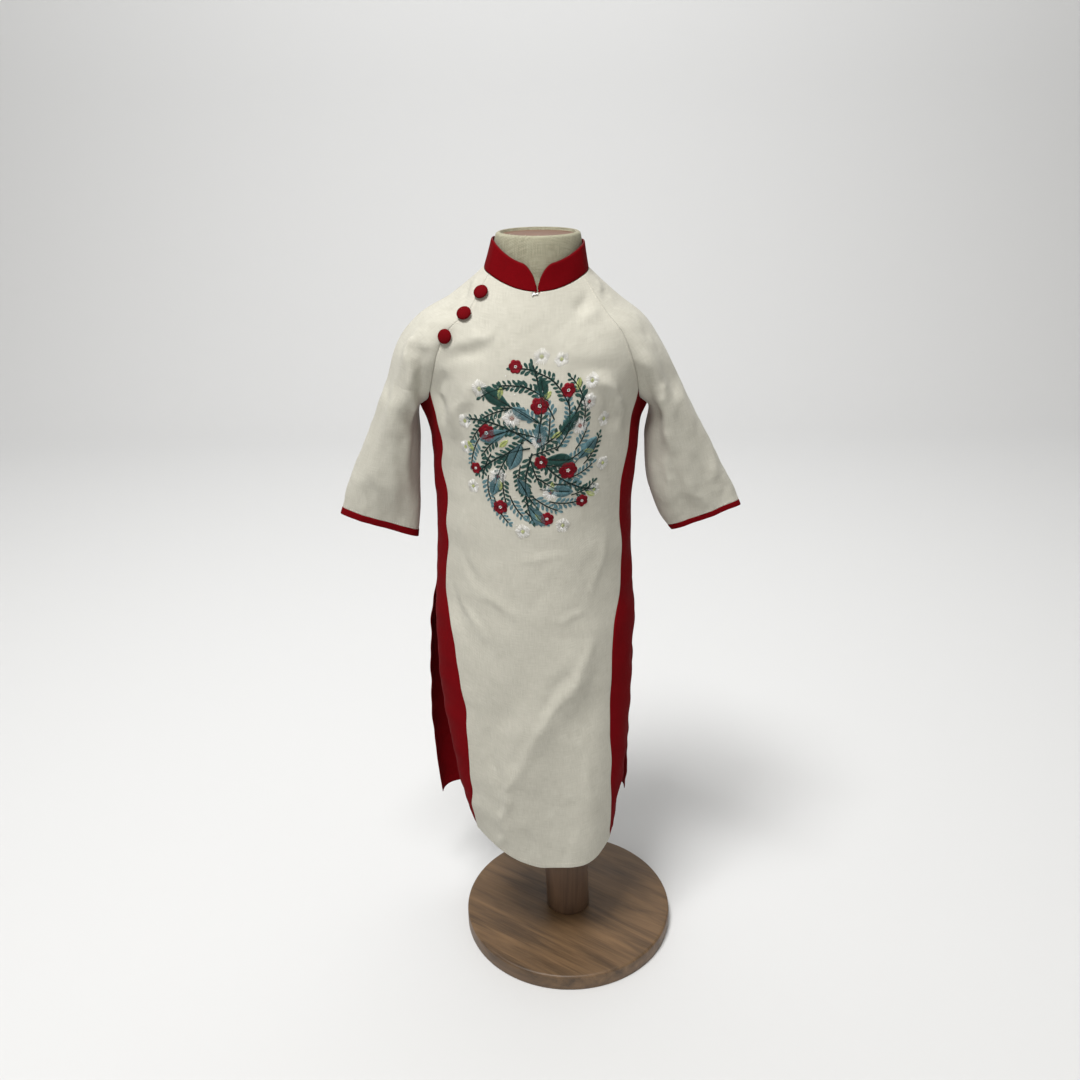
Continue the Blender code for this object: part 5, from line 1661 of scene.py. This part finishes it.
@dataclass
class Sewing:
    """Lines of machine stitches: hem, placket edge, raglan and strip seams."""

    pitch: float = 2.4
    gap: float = 0.7
    width: float = 0.42
    height: float = 0.18
    seam_inset: float = 2.4
    cuff_inset: float = 1.6
    edge_inset: float = 3.6

    def build(self, garment: Garment, looks: Wardrobe) -> dict[str, list[Piece]]:
        """Stitch the lines on each cloth, and return them by cloth."""
        made: dict[str, list[Piece]] = {}
        for key in ("front", "back"):
            cloth = garment.cloths[key]
            lines = [self._row_line(cloth, STITCH_LINE)]
            lines += [self._column_line(cloth, side) for side in (-1, 1)]
            made[key] = self._stitch(cloth, lines, looks.sewing)
        for side in ("right", "left"):
            cloth = garment.cloths[f"sleeve_{side}"]
            made[cloth.name] = self._stitch(cloth, [self._row_line(cloth, self.cuff_inset)], looks.sewing)
            for face in ("front", "back"):
                cloth = garment.cloths[f"side_{face}_{side}"]
                lines = [self._row_line(cloth, STITCH_LINE), self._free_edge(cloth, garment)]
                made[cloth.name] = self._stitch(cloth, lines, looks.red_sewing)
        return made

    def _stitch(self, cloth: Cloth, lines: list[Array], look: Material) -> list[Piece]:
        """Lay even stitches along lines of flat measures, as one piece."""
        name = f"{cloth.name}_stitching"
        starts, ends = [], []
        for line in lines:
            at = np.arange(self.gap, walked(line)[-1] - self.pitch, self.pitch)
            starts.append(points_along(line, at))
            ends.append(points_along(line, at + self.pitch - self.gap))
        stitches = Stitches.of(np.concatenate(starts), np.concatenate(ends), self.width, self.height)
        return [stitch_mesh(name, cloth, stitches, look, len(name))]

    @staticmethod
    def _flat(cloth: Cloth) -> Array:
        """Return each grid point's (u, v) as `place` reads them: v is the row's own measure."""
        across, down = cloth.measures()
        middle = cloth.grid.shape[1] // 2
        rows = np.broadcast_to(down[:, middle][:, None], across.shape)
        return np.stack((across, rows), -1)

    def _row_line(self, cloth: Cloth, up: float) -> Array:
        """Return the line that runs across the cloth at a distance up from its lowest row."""
        flat = self._flat(cloth)
        middle = cloth.grid.shape[1] // 2
        down = flat[:, middle, 1]
        row = np.full(cloth.grid.shape[1], np.interp(down[-1] - up, down, np.arange(len(down))))
        line = bilinear(flat, row, np.arange(cloth.grid.shape[1], dtype=float))
        return line[2:-2]

    def _column_line(self, cloth: Cloth, side: int) -> Array:
        """Return the line just inside one raglan seam."""
        edge = self._flat(cloth)[:, 0 if side < 0 else -1]
        keep = (edge[:, 1] > 2.0) & (edge[:, 1] < UNDERARM)
        return edge[keep] - np.array((side * self.seam_inset, 0.0))

    def _free_edge(self, cloth: Cloth, garment: Garment) -> Array:
        """Return the line just inside a strip's free edge, below the vent."""
        away = np.abs(self._flat(cloth)[garment.closed_body + 6:-6, -1])
        return away - np.array((self.edge_inset, 0.0))


@dataclass
class DressForm:
    """Limbless form: linen-covered body, frayed neck rim and the wooden disc in the neck."""

    bottom: float = 392.0
    top: float = 839.0
    sides: int = 120
    cap_radius: float = 33.4
    cap_oval: float = 3.0
    cap_sink: float = 2.5
    fibres: int = 260

    def _ring(self, z: float, middle: float, half: float, front: float, back: float) -> Array:
        """Return a level oval ring: half an ellipse to the front, half to the back."""
        angle = full_turn(self.sides)
        depth = np.where(np.sin(angle) < 0, -front, back)
        return np.stack((middle + half * np.cos(angle), depth * np.sin(angle), 0 * angle + z), axis=-1)

    def build(self, looks: Wardrobe) -> None:
        """Make the form, its frayed rim and its cap."""
        low, lead, half, front, back = FORM.values[0]
        heights = np.concatenate((np.linspace(low, 831.0, 170), np.linspace(831.5, 839.0, 12)))
        rings = []
        for inset, up in ((40.0, 0.0), (12.0, 0.0), (7.0, 1.2), (3.5, 3.5), (1.2, 7.0)):
            rings.append(self._ring(self.bottom + up, lead, half - inset, front + inset, back - inset))
        for z in heights:
            rings.append(self._ring(z, *FORM.reads("mid_x half front back", z)))
        recess = self.cap_radius + GAP
        middle = FORM.values[-1, 1]
        for inset, z in ((0.6, 0.25), (0.0, -0.6), (0.0, -self.cap_sink - 5.3)):
            wide = recess + inset
            rings.append(self._ring(self.top + z, middle, wide + self.cap_oval, -wide - self.cap_oval, wide))
        rings = np.array(rings)
        around = np.cumsum(np.linalg.norm(np.roll(rings, -1, axis=1) - rings, axis=-1), axis=1)
        around -= around.mean(axis=1, keepdims=True)
        flat = np.stack((around, walked(rings)), -1).reshape(-1, 2) * MM
        body = closed_lathe("form_body_cover", rings, looks.linen, flat)
        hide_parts("form_body")
        self._fray(looks, middle)
        self._cap(looks, middle)

    def _fray(self, looks: Wardrobe, middle: float) -> None:
        """Make loose linen ends that stand round the inner edge of the neck.

        Each fibre is a short bent spindle from the rim, mostly leaning inward.
        """
        random = np.random.default_rng(11)
        angle = random.uniform(0, 2 * math.pi, self.fibres)
        one_each = (self.fibres, 1)
        wide = self.cap_radius + self.cap_oval
        depth = np.where(np.sin(angle) < 0, wide, self.cap_radius)
        out = random.uniform(-0.2, 1.9, self.fibres)
        ray = level_rays(angle)
        foot = np.array((middle, 0.0, self.top - 0.15)) + ray * np.stack((wide + out, depth + out, out), -1)
        swing = level_rays(angle + math.pi / 2) * random.normal(0, 0.8, one_each)
        length = random.uniform(0.8, 3.0, one_each)
        rise = np.array((0.0, 0.0, 1.0)) * random.uniform(0.05, 0.55, one_each)
        lean = unit(swing - ray * random.uniform(0.1, 1.0, one_each))
        knee = foot + (lean + rise) * length * 0.5
        tip = knee + (lean - rise * 0.6) * length * 0.5
        thick = random.uniform(0.10, 0.20, (self.fibres, 1, 1))
        circle = level_rays(full_turn(3))
        rings = [foot[:, None] + circle * thick, knee[:, None] + circle * thick * 0.9]
        points = np.concatenate((*rings, tip[:, None]), axis=1).reshape(-1, 3)
        one = np.array([(0, 2, 1), (0, 1, 4), (0, 4, 3), (1, 2, 5), (1, 5, 4), (2, 0, 3), (2, 3, 5),
                        (3, 4, 6), (4, 5, 6), (5, 3, 6)])
        faces = (one[None] + 7 * np.arange(self.fibres)[:, None, None]).reshape(-1, 3)
        shade = np.repeat(random.uniform(0.3, 1.0, self.fibres), 7)
        piece = make_piece("neck_rim_fray", points, faces, looks.sewing, None, shade)

    def _cap(self, looks: Wardrobe, middle: float) -> None:
        """Make the wooden disc, sunk a little below the rim, with an eased edge."""
        top = self.top - self.cap_sink
        rings = []
        for z, inset in ((-5.0, 0.0), (-2.5, 0.0), (-0.8, 0.0), (-0.3, 0.2), (0.0, 0.8), (0.0, 16.0)):
            wide = self.cap_radius - inset
            rings.append(self._ring(top + z, middle, wide + self.cap_oval, -wide - self.cap_oval, wide))
        cap = closed_lathe("neck_cap_disc", np.array(rings), looks.cap_wood)
        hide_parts("neck_cap")


@dataclass
class Stand:
    """Turned post with a thick foot, on a round base with eased edges."""

    base_radius: float = 126.5
    base_height: float = 20.0
    ease: float = 3.0
    sides: int = 160

    def _axis_x(self, z: Array) -> Array:
        """Return where the slightly leaning axis passes at each height."""
        low, middle = FORM.values[0, :2]
        share = (z - self.base_height) / (low - self.base_height)
        return BASE_X + (middle - BASE_X) * share

    def _lathe(self, name: str, profile: Array, lean: bool, look: Material) -> None:
        """Make a turned piece from (height, radius) rows."""
        z, radius = profile[:, 0], profile[:, 1]
        centre = self._axis_x(z) if lean else np.full(len(z), BASE_X)
        angle = full_turn(self.sides)
        x = centre[:, None] + radius[:, None] * np.cos(angle)
        y = radius[:, None] * np.sin(angle)
        rings = np.stack((x, y, np.broadcast_to(z[:, None], x.shape)), -1)
        piece = closed_lathe(f"{name}_turned", rings, look)
        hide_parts(name)

    def build(self, looks: Wardrobe) -> None:
        """Make the post and the base."""
        post = Rows(
            "z radius", (20.3, 26.1), (21, 26.5), (60, 26.5), (108, 26.5), (113, 26.2), (118, 24.8),
            (122, 22), (126, 19.2), (130, 17.7), (134, 17), (200, 17), (391.7, 17),
        )
        z = np.concatenate(([20.3, 20.6], np.linspace(21.0, 108.0, 10), np.linspace(110.0, 136.0, 22),
                            np.linspace(150.0, 391.7, 20)))
        self._lathe("stand_pole", np.stack((z, post.read("radius", z)), -1), True, looks.pole_wood)
        corner = np.array((self.base_height, self.base_radius)) - self.ease
        upper = corner + self.ease * rays(np.linspace(0, math.pi / 2, 9))[:, ::-1]
        lower = np.array(((0.0, self.base_radius - 60.0), (0.0, self.base_radius - 1.5),
                          (0.4, self.base_radius - 0.45), (1.5, self.base_radius)))
        centre = np.array(((self.base_height, self.base_radius - 20.0), (self.base_height, 30.0)))
        self._lathe("stand_base", np.concatenate((lower, upper, centre)), False, looks.base_wood)


@dataclass
class Studio:
    """Pale sweep, soft lights and the camera, none of them part of the object."""

    focal_pixels: float = 1055.0
    frame_pixels: float = 1080.0
    sensor: float = 36.0
    pitch: float = 23.1
    roll: float = 0.7
    eye: Triple = (3.0, -1050.0, 963.8)
    key_power: float = 104.0
    wall_power: float = 33.0
    fill_power: float = 12.0
    world_strength: float = 0.32

    def build(self) -> None:
        """Make the sweep, the lights, the world and the camera."""
        self._sweep()
        body = (0.0, 0.0, 0.45)
        wall = (0.0, 3.0, 0.9)
        self._light("key_light", (-0.62, -1.0, 3.2), body, 0.9, self.key_power, (1.0, 0.99, 0.975))
        self._light("fill_light", (0.1, -2.6, 1.0), body, 2.4, self.fill_power, (1.0, 0.96, 0.89))
        self._light("wall_light", (0.0, 0.9, 2.6), wall, 2.0, self.wall_power, (1.0, 1.0, 1.0))
        world = bpy.data.worlds.new("studio_air")
        world.use_nodes = True
        world.node_tree.nodes["Background"].inputs[0].default_value = (1.0, 0.975, 0.92, 1.0)
        world.node_tree.nodes["Background"].inputs[1].default_value = self.world_strength
        bpy.context.scene.world = world
        bpy.context.scene.view_settings.view_transform = "Standard"
        self._camera()

    def _camera(self) -> None:
        """Make the camera: pitched down, rolled a little, with the photo's field of view."""
        camera = bpy.data.cameras.new("photo_camera")
        camera.lens = self.focal_pixels / self.frame_pixels * self.sensor
        camera.sensor_width = self.sensor
        camera.clip_start = 0.01
        pitch, roll = math.radians(self.pitch), math.radians(self.roll)
        ahead = np.array((0.0, math.cos(pitch), -math.sin(pitch)))
        level_up = np.array((0.0, math.sin(pitch), math.cos(pitch)))
        right = np.array((1.0, 0.0, 0.0)) * math.cos(roll) - level_up * math.sin(roll)
        up = np.array((1.0, 0.0, 0.0)) * math.sin(roll) + level_up * math.cos(roll)
        axes = (right, up, -ahead)
        bpy.context.scene.camera = self._set_up("photo_camera", camera, axes, to_row(self.eye))

    @staticmethod
    def _set_up(name: str, data: bpy.types.ID, axes: Sequence[Array], place: Sequence[float]) -> Piece:
        """Put a camera or light at a place, turned to its three axes, and return it."""
        matrix = np.eye(4)
        matrix[:3, 0], matrix[:3, 1], matrix[:3, 2] = axes
        matrix[:3, 3] = place
        body = bpy.data.objects.new(name, data)
        body.matrix_world = [tuple(row) for row in matrix.T]
        bpy.context.scene.collection.objects.link(body)
        return body

    def _light(
        self, name: str, place: Triple, target: Triple, size: float, power: float, colour: Triple
    ) -> None:
        """Make a square area light that faces its target."""
        light = bpy.data.lights.new(name, "AREA")
        light.size = size
        light.energy = power
        light.color = colour
        away = unit(np.array(place) - np.array(target))
        side = unit(np.cross((0.0, 0.0, 1.0), away))
        self._set_up(name, light, (side, np.cross(away, side), away), place)

    @staticmethod
    def _sweep() -> None:
        """Make the floor that curves up into a wall: a quarter circle between two flats."""
        turn = np.linspace(0, math.pi / 2, 24)
        depth = np.concatenate(([-6.0], 2.0 + np.sin(turn), [3.0]))
        height = np.concatenate(([0.0], 1.0 - np.cos(turn), [5.0]))
        wide = np.array((-8.0, 8.0))
        points = np.stack((np.tile(wide, len(depth)), np.repeat(depth, 2), np.repeat(height, 2)), -1)
        first = np.arange(len(depth) - 1) * 2
        faces = quads(first, first + 1, first + 3, first + 2)
        mesh = bpy.data.meshes.new("pale_sweep")
        mesh.from_pydata(points.tolist(), [], faces.tolist())
        mesh.shade_smooth()
        look, build, shader = new_look("pale_floor")
        build.fill(shader, Base_Color=(0.655, 0.66, 0.665), Roughness=0.9)
        mesh.materials.append(look)
        sweep = bpy.data.objects.new("pale_sweep", mesh)
        bpy.context.scene.collection.objects.link(sweep)


def declare_sheets(garment: Garment) -> None:
    """Work out each cloth's flat cut: its width, length and area."""
    for key, cloth in garment.cloths.items():
        width, length, area = cloth.cut()
        length = max(length, SMALLEST_CUT)


def main() -> None:
    """Build the garment, its trimmings, the form and the stand, then the studio."""
    logging.basicConfig(level=logging.INFO, format="%(message)s")
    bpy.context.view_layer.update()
    looks = Wardrobe()
    garment = Garment()
    pieces = garment.build(looks)
    riders = Sewing().build(garment, looks)
    riders["front"] += Roundel().build(garment, looks)
    riders["front"] += Fastenings().build(garment, looks)
    declare_sheets(garment)
    Collar().build(garment, looks)
    DressForm().build(looks)
    Stand().build(looks)
    Studio().build()


if __name__ == "__main__":
    main()
